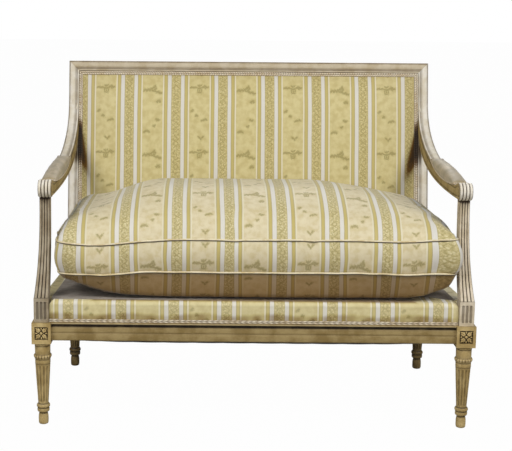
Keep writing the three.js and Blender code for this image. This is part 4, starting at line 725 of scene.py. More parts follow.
def lyingMember(ends, height, upward):
    """A lying member of the back frame: its section carried across, with ends that may follow the mitre."""
    section = backSection()
    share = np.linspace(-1, 1, 80)[:, None]
    x = ends(section[None, :, 0]) * share
    z = np.broadcast_to(height + upward * section[:, 0], x.shape)
    points = tilted(np.stack([x, np.broadcast_to(section[:, 1], x.shape), z], -1))
    return grid(points, np.broadcast_to(section[:, 2], x.shape).copy(), loopU=True, capped=True)


def rearPostParts():
    x, y, half = layout["rearLegX"], layout["rowDepth"], layout["rearBlock"] / 2
    block = carvedBlock((x - half, x + half), (y - half, y + half), (layout["turnedHeight"], layout["railTop"]))
    leg = [turnedLeg(x, y), *block]
    # the turned leg and its block take the dark paint, painted shade
    for piece in leg:
        piece["second"] = True
    return [*leg, stileParts()]


addPair("rearPost", rearPostParts(), "paintUpright", "rear_post", second="shadeDarkUpright")
topRail = lyingMember(lambda inward: stileOuterX - inward - 0.3, stileLength, -1)
addPiece("backTopRail", [topRail], "paintLying", replaces=["back_top_rail"])
bottomRail = lyingMember(lambda inward: stileOuterX - memberWidth + 0 * inward, layout["bottomRailLift"], 1)
addPiece("backBottomRail", [bottomRail], "paintLying", replaces=["back_bottom_rail"])
print("back frame made")


# Seat rails: distance down from the top, depth in from the face, glaze; below zero the coat is rubbed pale with a
# painted highlight
railMoulding = [
    (0.0, 1.6, 0.3), (0.5, 0.6, 0.1), (1.8, 0.1, -0.3), (3.4, 0.0, -0.3), (4.6, 0.4, 0.1), (5.2, 1.3, 0.8), (5.6, 4.0, 1.0),
    (7.4, 6.2, 1.0), (10.4, 5.8, 1.0), (11.4, 3.4, 1.0), (12.2, 1.4, 0.7), (13.6, 0.5, 0.3), (17.0, 0.1, 0.12), (22.0, 0.1, 0.0),
    (26.4, 0.5, 0.1), (27.6, 0.9, 0.25), (28.4, 1.2, 0.3), (29.2, 1.2, 0.3), (30.2, 0.8, 0.2), (32.0, 0.4, 0.1), (36.0, 0.1, 0.05),
    (42.0, 0.0, 0.1), (46.5, 0.3, 0.0), (49.0, 1.0, -0.1), (50.4, 2.2, 0.3), (51.0, 3.8, 0.7),
]


def railPart(start, end, outer, count=120):
    """The rail's section carried along a straight line between two points on its outer face."""
    half = layout["railThickness"]
    section = [(down, depth, held) for down, depth, held in railMoulding]
    section += [(51.0, half * 0.5, 0.2), (51.0, half, 0.2), (25.0, half, 0.2), (0.0, half, 0.2), (0.0, half * 0.5, 0.2)]
    section = np.array(section)
    share = np.linspace(0, 1, count)[:, None, None]
    line = np.array(start, float) + (np.array(end, float) - np.array(start, float)) * share
    inward = np.array([-outer[0], -outer[1], 0.0])
    points = line + section[None, :, 1:2] * inward + section[None, :, 0:1] * np.array([0, 0, -1.0])
    return grid(points, np.broadcast_to(section[:, 2], points.shape[:2]).copy(), loopU=True, capped=True)


railHalf = layout["railThickness"] / 2
frontEnd = layout["frontLegX"] - layout["frontBlock"] / 2 - layout["clearance"]
rearEnd = layout["rearLegX"] - layout["rearBlock"] / 2 - layout["clearance"]
railTop = layout["railTop"]
addPiece("seatRailFront", [railPart((-frontEnd, frontRailY - railHalf, railTop), (frontEnd, frontRailY - railHalf, railTop), (0, -1))],
         "warmLying", replaces=["seat_rail_front"])
addPiece("seatRailBack", [railPart((-rearEnd, rearRailY + railHalf, railTop), (rearEnd, rearRailY + railHalf, railTop), (0, 1))],
         "warmLying", replaces=["seat_rail_back"])
sideRailOut = layout["frontBlock"] / 2 - layout["railSetback"]
sideStart, sideEnd = layout["frontBlock"] / 2 + 0.3, layout["rowDepth"] - layout["rearBlock"] / 2 - 0.3
sideRail = railPart((sideX(sideStart) + sideRailOut, sideStart, railTop), (sideX(sideEnd) + sideRailOut, sideEnd, railTop), (1, 0))
addPair("seatRail", [sideRail], "warmSide", "seat_rail")
print("seat rails made")


# Arm posts and arms
postShape = {
    "baseSide": 40.0, "baseHeight": 67.0, "topX": 569.0, "topSetback": 58.0, "topWidth": 28.0, "topDepth": 36.0,
    "taperPower": 2.6, "reeds": 4, "reedDepth": 2.2,
}
armShape = {
    "knuckleRadius": 24.0, "knuckleY": 34.0, "frontX": 566.0, "frontWidth": 36.0, "bedStart": 88.0, "bedThickness": 36.0,
    "joinTop": 835.0, "joinFoot": 748.0, "seatLength": 46.0, "reeds": 4, "reedDepth": 2.6, "padLength": 308.0,
}


def reedRelief(share, count, depth):
    """Depth and glaze across a reeded face: each reed is a half circle, and the lines between are sharp."""
    phase = share * count % 1 * 2 - 1
    drop = 1 - np.sqrt(np.clip(1 - phase ** 2, 0, 1))
    edge = (share < 1e-6) | (share > 1 - 1e-6)
    return depth * np.where(edge, 0.55, drop), np.where(edge, 0.35, smooth((np.abs(phase) - 0.5) / 0.36))


def armPostParts():
    """Each level of the post is a square whose four sides are reeded; the levels follow a power curve in width and
    outward place, and a cosine in their place from front to back."""
    low, high = layout["railTop"] + postShape["baseHeight"], layout["underArm"] - 0.3
    rise = np.linspace(0, 1, 70) ** 1.3
    taper = (1 - rise) ** postShape["taperPower"]
    sweep = (1 - np.cos(np.pi * np.sqrt(rise))) / 2
    x = postShape["topX"] + (layout["frontLegX"] - postShape["topX"]) * taper
    width = postShape["topWidth"] + (postShape["baseSide"] - postShape["topWidth"]) * taper
    deep = postShape["topDepth"] + (postShape["baseSide"] - postShape["topDepth"]) * taper
    z = low + (high - low) * rise
    y = postShape["topSetback"] * sweep
    share = np.linspace(0, 1, 49)[:-1]
    drop, held = reedRelief(share, postShape["reeds"], postShape["reedDepth"])
    sides = []
    for (ax, ay), (bx, by) in (((-1, -1), (1, 0)), ((1, -1), (0, 1)), ((1, 1), (-1, 0)), ((-1, 1), (0, -1))):
        across = ax * width[:, None] / 2 + bx * width[:, None] * share
        along = ay * deep[:, None] / 2 + by * deep[:, None] * share
        inward = np.array([-by, bx])
        sides.append(np.stack([x[:, None] + across + inward[0] * drop, y[:, None] + along + inward[1] * drop,
                               np.broadcast_to(z[:, None], across.shape)], -1))
    points = np.concatenate(sides, 1)
    glaze = np.broadcast_to(np.tile(held, 4), points.shape[:2]).copy()
    glaze[:2] = np.maximum(glaze[:2], 0.6)
    glaze[-2:] = 1.0
    half = postShape["baseSide"] / 2
    top = layout["railTop"] + postShape["baseHeight"]

    def flutes(u, v):
        return fluteRelief(u, v, 15.5, -26.0, 24.0)

    base = carvedBlock((layout["frontLegX"] - half, layout["frontLegX"] + half), (-half, half),
                       (layout["railTop"] + 0.3, top), flutes, flutes, 60)
    return [grid(points, glaze, loopU=True, capped=True), *base]


def bezier(points, share):
    """Cubic curve through four weighted points."""
    a, b, c, d = (np.array(p, float)[None, :] for p in points)
    t = np.asarray(share)[:, None]
    return a * (1 - t) ** 3 + b * 3 * t * (1 - t) ** 2 + c * 3 * t * t * (1 - t) + d * t ** 3


def armTopPoints():
    bed = layout["underArm"] + armShape["bedThickness"]
    joinY = stileFront(armShape["joinTop"])
    run = (joinY - armShape["bedStart"]) * 0.45
    fall = (armShape["joinTop"] - layout["underArm"]) * 0.65
    return [(armShape["bedStart"], bed), (armShape["bedStart"] + run, bed + 4.0),
            (joinY - fall * math.tan(rakeAngle), armShape["joinTop"] - fall), (joinY, armShape["joinTop"])]


def armUnderPoints():
    start = armShape["knuckleY"] + armShape["seatLength"]
    joinY = stileFront(armShape["joinFoot"])
    run, rise = joinY - start, armShape["joinFoot"] - layout["underArm"]
    return [(start, layout["underArm"]), (start + run * 0.5, layout["underArm"]),
            (start + run * 0.9, layout["underArm"] + rise * 0.18), (joinY, armShape["joinFoot"])]


def armMiddle(y):
    share = y / stileFront(armShape["joinTop"])
    return armShape["frontX"] + (stileOuterX - layout["faceWidth"] / 2 - armShape["frontX"]) * share


def armWidth(y):
    share = y / stileFront(armShape["joinTop"])
    return armShape["frontWidth"] + (layout["faceWidth"] - armShape["frontWidth"]) * share


def normals2d(path):
    """Unit normals to the left of a path of points."""
    along = np.gradient(path, axis=0)
    along /= np.linalg.norm(along, axis=1)[:, None]
    return np.stack([-along[:, 1], along[:, 0]], -1)


def armBar():
    """Stations from the knuckle to the stile. At each one the section runs over the moulded top, down the outer
    side, along the underside and up the inner side; the top goes from reeds in front to the stile's moulding."""
    share = np.linspace(0, 1, 90)
    top, under = bezier(armTopPoints(), share), bezier(armUnderPoints(), share)
    lead = np.linspace(0, 1, 14)[:-1, None]
    kneeTop = np.array([armShape["knuckleY"], layout["underArm"] + 2 * armShape["knuckleRadius"] - 0.5])
    kneeFoot = np.array([armShape["knuckleY"] + 6, layout["underArm"]])
    ease = np.concatenate([lead, smooth(lead)], 1)
    top = np.concatenate([kneeTop + (top[0] - kneeTop) * ease, top])
    under = np.concatenate([kneeFoot + (under[0] - kneeFoot) * lead, under])
    across = np.linspace(0, 1, 61)
    reed, reedHeld = reedRelief(across, armShape["reeds"], armShape["reedDepth"])
    mould = np.array([row for row in backMoulding[1:] if row[0] < 32])
    inward = across * layout["faceWidth"]
    face, faceHeld = np.interp(inward, mould[:, 0], mould[:, 1]), np.interp(inward, mould[:, 0], mould[:, 2])
    blend = smooth((top[:, 0] - 100) / 120)[:, None]
    drop = reed * (1 - blend) + np.minimum(face, 5.0)[::-1] * blend
    held = reedHeld * (1 - blend) + faceHeld[::-1] * blend
    topNormal, underNormal = normals2d(top), normals2d(under)
    middle, width = armMiddle(top[:, 0])[:, None], armWidth(top[:, 0])[:, None]
    x = middle + (across - 0.5) * width
    upper = np.stack([x, top[:, 0:1] - topNormal[:, 0:1] * drop, top[:, 1:2] - topNormal[:, 1:2] * drop], -1)
    belly = 3.0 * (2 * np.abs(across - 0.5)) ** 4
    lower = np.stack([x, under[:, 0:1] + underNormal[:, 0:1] * belly, under[:, 1:2] + underNormal[:, 1:2] * belly], -1)[:, ::-1]
    down = np.linspace(0, 1, 26)[1:-1]
    line = 1.1 * (np.exp(-((down - 0.2) / 0.035) ** 2) + np.exp(-((down - 0.82) / 0.035) ** 2))
    outerSide = upper[:, -1:] * (1 - down[:, None]) + lower[:, :1] * down[:, None]
    outerSide = outerSide - line[None, :, None] * np.array([1.0, 0, 0])
    innerSide = lower[:, -1:] * (1 - down[:, None]) + upper[:, :1] * down[:, None]
    innerSide = innerSide + line[None, :, None] * np.array([1.0, 0, 0])
    points = np.concatenate([upper, outerSide, lower, innerSide], 1)
    sideHeld = np.broadcast_to(np.clip(line * 0.9, 0, 1), (len(top), len(down)))
    glaze = np.concatenate([held, sideHeld, np.zeros(lower.shape[:2]) + 0.15, sideHeld[:, ::-1]], 1)
    bar = grid(points, glaze, loopU=True, capped=True)
    column = np.tile(np.arange(points.shape[1]), len(points) - 1)
    bar["second"] = column >= len(across) - 1  # everything but the moulded top keeps its warm glaze
    return bar


def armKnuckle():
    """A drum across the end of the arm: its radius drops between the reeds, and each end is a carved scroll whose
    groove is a spiral."""
    radius, middle = armShape["knuckleRadius"], armMiddle(armShape["knuckleY"])
    half = armWidth(armShape["knuckleY"]) / 2
    across = np.linspace(0, 1, 61)
    drop, held = reedRelief(across, armShape["reeds"], armShape["reedDepth"])
    angle = np.linspace(0, 2 * np.pi, 72, endpoint=False)
    centre = np.array([armShape["knuckleY"], layout["underArm"] + radius])
    ends = np.linspace(0, 1, 22)[:-1]
    rings, glaze = [], []
    for side, outward in ((-1, ends), (1, ends[::-1])):
        r = radius * 0.955 * outward[:, None] + 0 * angle
        groove = np.abs(((r / radius * 2.4 - side * angle / (2 * np.pi)) % 1) - 0.5) * 2
        cutDepth = 1.6 * smooth((groove - 0.55) / 0.4) * smooth((r / radius - 0.12) / 0.1)
        x = middle + side * (half + 0.9 * (1 - r / radius) - cutDepth)
        rings.append(np.stack([x, centre[0] + r * np.cos(angle), centre[1] + r * np.sin(angle)], -1))
        glaze.append(np.clip(cutDepth / 1.4, 0, 1))
    r = (radius - drop)[:, None] + 0 * angle
    x = middle + (across - 0.5)[:, None] * 2 * half + 0 * angle
    drum = np.stack([x, centre[0] + r * np.cos(angle), centre[1] + r * np.sin(angle)], -1)
    points = np.concatenate([rings[0], drum, rings[1]])
    # The reeds' crests go below zero: rubbed pale, with a painted highlight.
    crest = smooth((0.25 - held) / 0.25) * -0.45
    held = np.concatenate([glaze[0], np.broadcast_to((held + crest)[:, None], r.shape), glaze[1]])
    knuckle = grid(points, held, loopU=True, capped=True)
    row = np.repeat(np.arange(len(points) - 1), len(angle))
    knuckle["second"] = (row < len(ends)) | (row >= len(ends) + len(across) - 1)
    return knuckle


# The right post takes the soft paint and the left a darker copy.
addPair("armPost", armPostParts(), ("softUpright", "darkerLeftUpright"), "arm_post")
addPair("arm", [armBar(), armKnuckle()], "paintArm", "arm", second="warmSide")
print("arms made")


# Soft parts
silkPlace = {  # repeat of the stripes and middle of one patterned band, in millimetres, where each panel was cut
    "back": (147.4, -523.2), "cushion": (141.9, -493.2), "deck": (142.9, -501.9), "rise": 205.4, "backUp": 590.0,
    "topUp": 0.655, "underUp": 0.9, "boxingFlower": 444.0,  # shares of the sprigs' repeat at the front seams, and a height
}


def clothMap(x, y, cut):
    """Place on the silk: repeats of the stripes across and of the sprigs along."""
    pitch, middle = silkPlace[cut]
    return np.stack([(x - middle) / pitch + 0.1025, y / silkPlace["rise"]], -1)


def slab(top, offset, uv=None, glaze=None):
    """A thin closed sheet: a grid of points, the same grid moved by an offset, and a strip round the edge."""
    rows, columns = top.shape[:2]
    count = rows * columns
    i, j = np.arange(rows - 1)[:, None], np.arange(columns - 1)[None, :]
    near = np.stack([i * columns + j, i * columns + j + 1, (i + 1) * columns + j + 1, (i + 1) * columns + j], -1).reshape(-1, 4)
    loop = np.concatenate([np.arange(columns), np.arange(1, rows) * columns + columns - 1,
                           (rows - 1) * columns + np.arange(columns - 2, -1, -1), np.arange(rows - 2, 0, -1) * columns])
    after = np.roll(loop, -1)
    edge = np.stack([after, loop, loop + count, after + count], -1)
    flat = top.reshape(-1, 3)
    part = {"verts": np.concatenate([flat, flat + np.array(offset, float)]), "quads": np.concatenate([near, near[:, ::-1] + count, edge]),
            "tris": np.zeros((0, 3), int), "glaze": np.zeros(count * 2) if glaze is None else np.tile(glaze.ravel(), 2), "uv": None}
    if uv is not None:
        part["uv"] = np.tile(uv.reshape(-1, 2), (2, 1))
    return outward(part)


gimpShape = {"fineTwist": 7.5, "twist": 15.0, "step": 1.6, "samples": 15}


def gimpBand(near, far, outDirection, thickness, twist, closed=False):
    """Two twisted cords side by side between two edge lines: each is a half circle across, and its height ripples
    with the cosine of the place along the band plus the place across it."""
    share = np.linspace(0, 1, gimpShape["samples"])
    middle = (near + far) / 2
    along = np.concatenate([[0], np.cumsum(np.linalg.norm(np.diff(middle, axis=0), axis=1))])[:, None]
    cord = share * 2 % 1 * 2 - 1
    cord[-1] = 1.0
    dome = np.sqrt(np.clip(1 - cord ** 2, 0, 1))
    side = np.where(share < 0.5, 1.0, -1.0)
    ripple = np.cos(2 * np.pi * (along / twist + side * cord * 0.28))
    height = thickness * (0.25 + dome * (0.6 + 0.15 * ripple))
    out = np.broadcast_to(np.asarray(outDirection, float), middle.shape)[:, None, :]
    flat = near[:, None, :] * (1 - share[:, None]) + far[:, None, :] * share[:, None]
    top = flat + out * height[..., None]
    back = flat[:, ::-1]
    glaze = np.clip(1.0 - dome * (0.72 + 0.36 * ripple), 0, 1) * 0.9
    points = np.concatenate([top, back], 1)
    held = np.concatenate([glaze, glaze * 0 + 0.6], 1)
    return grid(points, held, loopU=True, loopV=closed, capped=not closed)


panelShape = {
    "halfWidth": 535.6, "foot": 107.3, "top": 651.3, "edge": 16.1, "rear": 11.0, "crownX": 522.5, "crownZ": 258.8,
    "middle": 379.3, "lift": 2.0, "crown": 22.0,
}


def backPanelParts():
    """Front face: depth = edge + lift + crown (1 - |x/a|^6)(1 - |z/b|^4), with slow waves of a millimetre."""
    p = panelShape
    sx = np.sin(np.linspace(-1, 1, 221) * np.pi / 2) * 0.25 + np.linspace(-1, 1, 221) * 0.75
    sz = np.sin(np.linspace(-1, 1, 81) * np.pi / 2) * 0.25 + np.linspace(-1, 1, 81) * 0.75
    x, z = np.meshgrid(sx * p["halfWidth"], (p["foot"] + p["top"]) / 2 + sz * (p["top"] - p["foot"]) / 2)
    ax = np.clip(np.abs(x) / p["crownX"], 0, 1)
    az = np.clip(np.abs(z - p["middle"]) / p["crownZ"], 0, 1)
    rise = (p["lift"] + p["crown"] * (1 - az ** 4)) * np.clip((1 - ax ** 6) * (1 - az ** 24), 0, 1)
    waves = np.sin(x / 71 + 1.3 * np.sin(z / 93)) * np.sin(z / 117 + 0.6) * 0.7 * (1 - ax ** 4) * (1 - az ** 4)
    y = -p["edge"] - rise - waves
    top = tilted(np.stack([x, y, z], -1))
    uv = clothMap(x, z - silkPlace["backUp"] + 0.5 * silkPlace["rise"], "back")
    # Painted shade: the silk darkens towards the frame, and each arm's painted shadow lies on it as a dark wedge.
    paintedShade = 0.14 * np.clip(ax ** 8 + az ** 8, 0, 1)
    paintedShade = np.maximum(paintedShade, 1.75 * armShadowWedge(x, z, p["halfWidth"]))
    offset = tilted(np.array([0.0, p["rear"], 0.0])) - tilted(np.zeros(3))
    return [slab(top, offset, uv, paintedShade)]


backPanel = addPiece("insideBack", backPanelParts(), "silk", replaces=["inside_back_cover", "back_stuffing"])

outsideX, outsideZ = np.meshgrid(np.linspace(-535.7, 535.7, 90), np.linspace(107.3, 651.3, 60))
outsideSurface = tilted(np.stack([outsideX, 14.4 + 0.4 * np.sin(outsideX / 60) * np.sin(outsideZ / 70), outsideZ], -1))
outsideOffset = tilted(np.array([0.0, 1.2, 0.0])) - tilted(np.zeros(3))
outsideBack = addPiece("outsideBack", [slab(outsideSurface, -outsideOffset, clothMap(outsideX, outsideZ, "back"))], "silk",
                       replaces=["outside_back_cover"])


def frameBraid(depth, thickness, outward, width=11.4):
    """A gimp carried round the panel with mitred corners: both edge lines are rectangles about the same middle."""
    half = np.array([535.7, 272.0])
    lines = []
    for inset in (0.0, width):
        w, h = half - inset
        corners = np.array([[-w, -h], [w, -h], [w, h], [-w, h]])
        counts = [int(2 * half[0] / gimpShape["step"]), int(2 * half[1] / gimpShape["step"])] * 2
        sides = [corners[k] + (corners[(k + 1) % 4] - corners[k]) * np.linspace(0, 1, n, endpoint=False)[:, None]
                 for k, n in enumerate(counts)]
        flat = np.concatenate(sides)
        lines.append(tilted(np.stack([flat[:, 0], flat[:, 0] * 0 + depth, flat[:, 1] + panelShape["middle"]], -1)))
    direction = tilted(np.array([0.0, outward, 0.0])) - tilted(np.zeros(3))
    braid = gimpBand(lines[0], lines[1], direction, thickness, gimpShape["fineTwist"], closed=True)
    # The inside braid beside each arm takes the arm's painted shadow, darkened to black.
    armShadowed = armShadow(flat[:, 1] + panelShape["middle"]) * (np.abs(flat[:, 0]) > half[0] - width - 1) * (outward < 0)
    braid["glaze"] = np.clip(braid["glaze"], 0, 1) + 1.6 * np.repeat(armShadowed, 2 * gimpShape["samples"])
    return braid


addPiece("backBraid", [frameBraid(-16.4, 3.6, -1.0)], "gimp", replaces=["back_braid"])
addPiece("outsideBackBraid", [frameBraid(15.1, 2.2, 1.0)], "gimp", replaces=["outside_back_braid"])
print("back upholstery made")

deckShape = {
    "frontX": 553.0, "frontY": -13.0, "notchY": 21.0, "rearNotchY": 516.0, "rearX": 525.0, "rearY": 550.0, "sideOut": 13.0,
    "foot": 291.3, "top": 351.6, "roll": 15.0, "rollBulge": 1.6, "wrap": 36.0, "frontWrap": 17.0, "frontWrapRight": 74.0,
}


def deckOutline(inset=0.0, step=6.0):
    """Outline of the deck, with notches for the arm posts and stiles: straight sides, drawn in by an inset."""
    d = deckShape
    side = lambda y: sideX(y) + d["sideOut"] - inset
    half = [(d["frontX"] - inset, d["frontY"] + inset), (d["frontX"] - inset, d["notchY"] + inset),
            (side(d["notchY"]), d["notchY"] + inset), (side(d["rearNotchY"]), d["rearNotchY"] - inset),
            (d["rearX"] - inset, d["rearNotchY"] - inset), (d["rearX"] - inset, d["rearY"] - inset)]
    corners = np.array(half + [(-x, y) for x, y in half[::-1]])
    ends = np.roll(corners, -1, axis=0)
    full = np.array([(d["frontX"], d["frontY"]), (d["frontX"], d["notchY"]), (sideX(d["notchY"]) + d["sideOut"], d["notchY"]),
                     (sideX(d["rearNotchY"]) + d["sideOut"], d["rearNotchY"]), (d["rearX"], d["rearNotchY"]), (d["rearX"], d["rearY"])])
    full = np.concatenate([full, full[::-1] * [-1, 1]])
    lengths = np.linalg.norm(np.roll(full, -1, axis=0) - full, axis=1)
    pieces = [a + (b - a) * np.linspace(0, 1, max(2, int(n / step)), endpoint=False)[:, None]
              for a, b, n in zip(corners, ends, lengths)]
    return np.concatenate(pieces)


def deckParts():
    """Rings round the outline: up the side, which swells by a sine, over a quarter-round roll, and in to the middle.
    Below, the rings run in under the edge and up over the springs, so that the deck is hollow there."""
    d = deckShape
    heights, insets = [], []
    for share in np.linspace(0, 1, 16):
        heights.append(d["foot"] + (d["top"] - d["roll"] - d["foot"]) * share)
        insets.append(1.6 - d["rollBulge"] * math.sin(math.pi * (0.15 + 0.7 * share)))
    for angle in np.linspace(0, math.pi / 2, 9)[1:]:
        heights.append(d["top"] - d["roll"] * (1 - math.sin(angle)))
        insets.append(d["roll"] * (1 - math.cos(angle)) + 0.3)
    rings = [np.concatenate([deckOutline(max(i, 0.0)), np.full((len(deckOutline()), 1), h)], 1) for i, h in zip(insets, heights)]
    rim, foot = rings[-1], rings[0]
    centre = np.array([0.0, 268.0])
    for scale in (0.985, 0.96, 0.92, 0.86, 0.78, 0.68, 0.56, 0.42, 0.28, 0.12):
        ring = rim.copy()
        ring[:, :2] = centre + (rim[:, :2] - centre) * scale
        ring[:, 2] = d["top"] - 1.2 * (1 - scale) ** 0.5 - 0.4
        rings.append(ring)
    under = []
    for scale, height in ((0.97, 291.6), (0.93, 293.0), (0.9, 303.0), (0.86, 318.0), (0.8, 325.0), (0.5, 325.5), (0.15, 325.5)):
        ring = foot.copy()
        ring[:, :2] = centre + (foot[:, :2] - centre) * scale
        ring[:, 2] = height
        under.append(ring)
    points = np.stack(under[::-1] + rings)
    x, y, z = points[..., 0], points[..., 1], points[..., 2]
    loop = points[len(under)]
    run = np.concatenate([[0], np.cumsum(np.linalg.norm(np.diff(loop, axis=0), axis=1))])
    frontMiddle = len(loop) - int(np.argmin(np.abs(loop[::-1, 0]) + (loop[::-1, 1] > 0) * 1e4)) - 1
    around = np.broadcast_to(run - run[frontMiddle], x.shape)
    front = y < d["notchY"] - 4
    around = np.where((np.abs(x) < d["frontX"] + 1) & front, x, np.abs(around) * np.sign(x))
    rough = 0.7 * np.sin(around / 23 + 2 * np.sin(around / 90)) * np.sin(z / 17 + around / 61)
    row = np.arange(len(points))
    onSide = ((row >= len(under)) & (row < len(under) + len(heights)))[:, None]
    points[..., 1] += rough * onSide * front
    # Painted shade: the deck's sides darken in mottled patches towards the foot.
    mottle = 0.6 + 0.25 * np.sin(around / 9.1 + 1.7 * np.sin(around / 27)) * np.sin(around / 43 + 1)
    paintedShading = smooth((321 + 3 * np.sin(around / 31) - z) / 13) * mottle * onSide
    # Painted shade on the top just behind the front, under the cushion; below, the front sides are painted paler to
    # stand in for light.
    shaded = smooth((y - d["frontY"] - 5) / 8) * smooth((62 - y) / 20) * (z > d["top"] - 4) * (np.abs(x) < 440)
    part = grid(points, np.maximum(paintedShading, 0.9 * shaded) - 0.14 * onSide * front, clothMap(x, y - d["frontY"] + 45 + silkPlace["rise"], "deck"),
                loopU=True, capped=True)
    part["sideUv"] = np.concatenate([clothMap(around, z - d["foot"], "deck").reshape(-1, 2), np.zeros((2, 2))])
    mean = part["verts"][part["quads"]].mean(1)
    part["sideQuads"] = mean[:, 2] < d["top"] - d["roll"] * 0.12
    return [part]


seatDeck = addPiece("seatDeck", deckParts(), "silk", replaces=["seat_border", "seat_stuffing"], sharp=50)


def platformPart():
    """Plain cloth over the middle of the deck, sewn to the silk: straight edges set in from the sides and front."""
    d = deckShape
    v, u = np.meshgrid(np.linspace(0, 1, 50), np.linspace(-1, 1, 100), indexing="ij")
    wrap = d["frontWrap"] + (d["frontWrapRight"] - d["frontWrap"]) * smooth((u + 0.5) / 1.1) * (1 - 0.6 * smooth((u - 0.86) / 0.14))
    y = d["frontY"] + wrap + (d["rearNotchY"] - 8 - d["frontY"] - wrap) * v
    x = u * (sideX(y) + d["sideOut"] - d["wrap"])
    scale = np.maximum(np.abs(x) / 560, np.abs(y - 268) / 268)
    z = d["top"] + 0.25 + 0.15 * np.sin(x / 31) * np.sin(y / 37) - 0.9 * (1 - scale) ** 0.5
    return slab(np.stack([x, y, z + 0.3], -1), (0, 0, -0.5)), float(np.mean(x[:, -1] - x[:, 0])) / 1000, float(np.mean(y[-1] - y[0])) / 1000


platform, platformWidth, platformLength = platformPart()
platformCloth = addPiece("platformCloth", [platform], "cotton", replaces=["platform_cloth"])


def straightGimp(start, end, upward, outDirection, thickness):
    count = int(np.linalg.norm(np.subtract(end, start)) / gimpShape["step"])
    line = np.array(start, float) + (np.array(end, float) - np.array(start, float)) * np.linspace(0, 1, count)[:, None]
    return gimpBand(line, line + np.array(upward, float), outDirection, thickness, gimpShape["twist"])


addPiece("seatBraidFront", [straightGimp((-552.8, -13.2, 291.4), (552.8, -13.2, 291.4), (0, 0, 9.0), (0, -1, 0), 2.9)], "gimp",
         replaces=["seat_braid_front"])
sideGimpX = [sideX(y) + deckShape["sideOut"] + 0.2 for y in (21.5, 515.5)]
addPair("seatBraid", [straightGimp((sideGimpX[0], 21.5, 291.4), (sideGimpX[1], 515.5, 291.4), (0, 0, 9.0), (1, 0, 0), 2.6)], "gimp",
        "seat_braid")


padShape = {"skirt": 9.0, "gimpWidth": 5.0}


def padParts():
    """Across the arm the pad is a half circle raised to a power, so it is full and flat-topped, and its cover comes
    down over both sides of the arm; along the arm its height and width follow a power of a sine."""
    curve = bezier(armTopPoints(), np.linspace(0, 1, 400))
    run = np.concatenate([[0], np.cumsum(np.linalg.norm(np.diff(curve, axis=0), axis=1))])
    share = (1 - np.cos(np.linspace(0, np.pi, 90))) / 2
    place = np.stack([np.interp(share * armShape["padLength"], run, curve[:, k]) for k in (0, 1)], -1)
    normal = normals2d(place)
    swell = (np.sin(np.pi * np.clip(share, 1e-9, 1 - 1e-9)) ** 0.65)[:, None]
    armHalf = armWidth(place[:, 0])[:, None] / 2 + 0.4
    half = armHalf + 1.0 + 3.6 * swell
    crown = 0.6 + 3.4 * smooth(np.sin(np.pi * share) / 0.1)[:, None] + 20 * swell
    skirt = padShape["skirt"] * swell
    angle = np.linspace(0, np.pi, 37)[None, :]
    dome = 0.3 + crown * np.sin(np.clip(angle, 0, np.pi)) ** 0.65 + 0.35 * np.sin(share * 31)[:, None] * np.sin(angle * 3) ** 2
    down = np.linspace(1, 0, 7)[None, :-1]
    flat = np.zeros_like(share)[:, None]
    inner = np.concatenate([-armHalf, -armHalf, armHalf, armHalf], 1)
    out = np.concatenate([half - 1.2 * down ** 4, half * np.cos(angle), -half + 1.2 * down[:, ::-1] ** 4, inner], 1)
    lift = np.concatenate([0.3 - skirt * down, dome, 0.3 - skirt * down[:, ::-1], -skirt, flat + 0.3, flat + 0.3, -skirt], 1)
    x = armMiddle(place[:, 0])[:, None] + out
    y = place[:, 0:1] + normal[:, 0:1] * lift
    z = place[:, 1:2] + normal[:, 1:2] * lift
    paintedShade = np.clip(0.35 - lift / 30, 0, 0.6)
    pad = grid(np.stack([x, y, z], -1), paintedShade, loopU=True, capped=True)

    under = 0.4 - skirt
    middle = armMiddle(place[:, 0])[:, None]
    base = np.stack([np.concatenate([middle + half, middle - half], 1), (place[:, 0:1] + normal[:, 0:1] * under).repeat(2, 1),
                     (place[:, 1:2] + normal[:, 1:2] * under).repeat(2, 1)], -1)
    sides = []
    for column, sign in ((0, 1.0), (-1, -1.0)):
        near = base[2:-2, column] + np.array([sign * 0.2, 0, 0])
        up = np.stack([0 * normal[:, 0], normal[:, 0], normal[:, 1]], -1)[2:-2]
        fine = np.linspace(0, len(near) - 1, int(armShape["padLength"] / gimpShape["step"]))
        k = np.arange(len(near))
        near = np.stack([np.interp(fine, k, near[:, a]) for a in range(3)], -1)
        up = np.stack([np.interp(fine, k, up[:, a]) for a in range(3)], -1)
        sides.append(gimpBand(near, near + up * padShape["gimpWidth"], (sign, 0, 0), 1.5, gimpShape["fineTwist"]))
    for row, forward in ((0, -1.0), (-1, 1.0)):
        start, end = base[row, 0], base[row, 1]
        line = start + (end - start) * np.linspace(0, 1, 30)[:, None]
        tangent = np.array([0, normal[row, 1], -normal[row, 0]]) * forward
        up = np.array([0, normal[row, 0], normal[row, 1]])
        sides.append(gimpBand(line + tangent * 0.2, line + up * 4.6 + tangent * 0.2, tangent, 2.4, gimpShape["fineTwist"]))
    return [pad], sides


padSurface, padGimp = padParts()
for pad in addPair("armPad", padSurface, "padSilk", "arm_pad"):
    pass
addPiece("armPadGimpRight", padGimp, "gimp")
addPiece("armPadGimpLeft", [mirroredPart(p) for p in padGimp], "gimp")
print("deck and arm pads made")


# Hidden webbing, canvas and dust cover
def strap(start, end, width, across, lift, phase, count=70):
    """A strap of webbing: a thin flat strip whose height waves by a cosine to pass over and under the others."""
    share = np.linspace(0, 1, count)[:, None]
    line = np.array(start, float) + (np.array(end, float) - np.array(start, float)) * share
    line = line + np.array(lift, float) * np.cos(share * phase * np.pi)
    sideways = np.array(across, float) * width / 2
    return np.stack([line - sideways, line - sideways / 3, line + sideways / 3, line + sideways], 1)


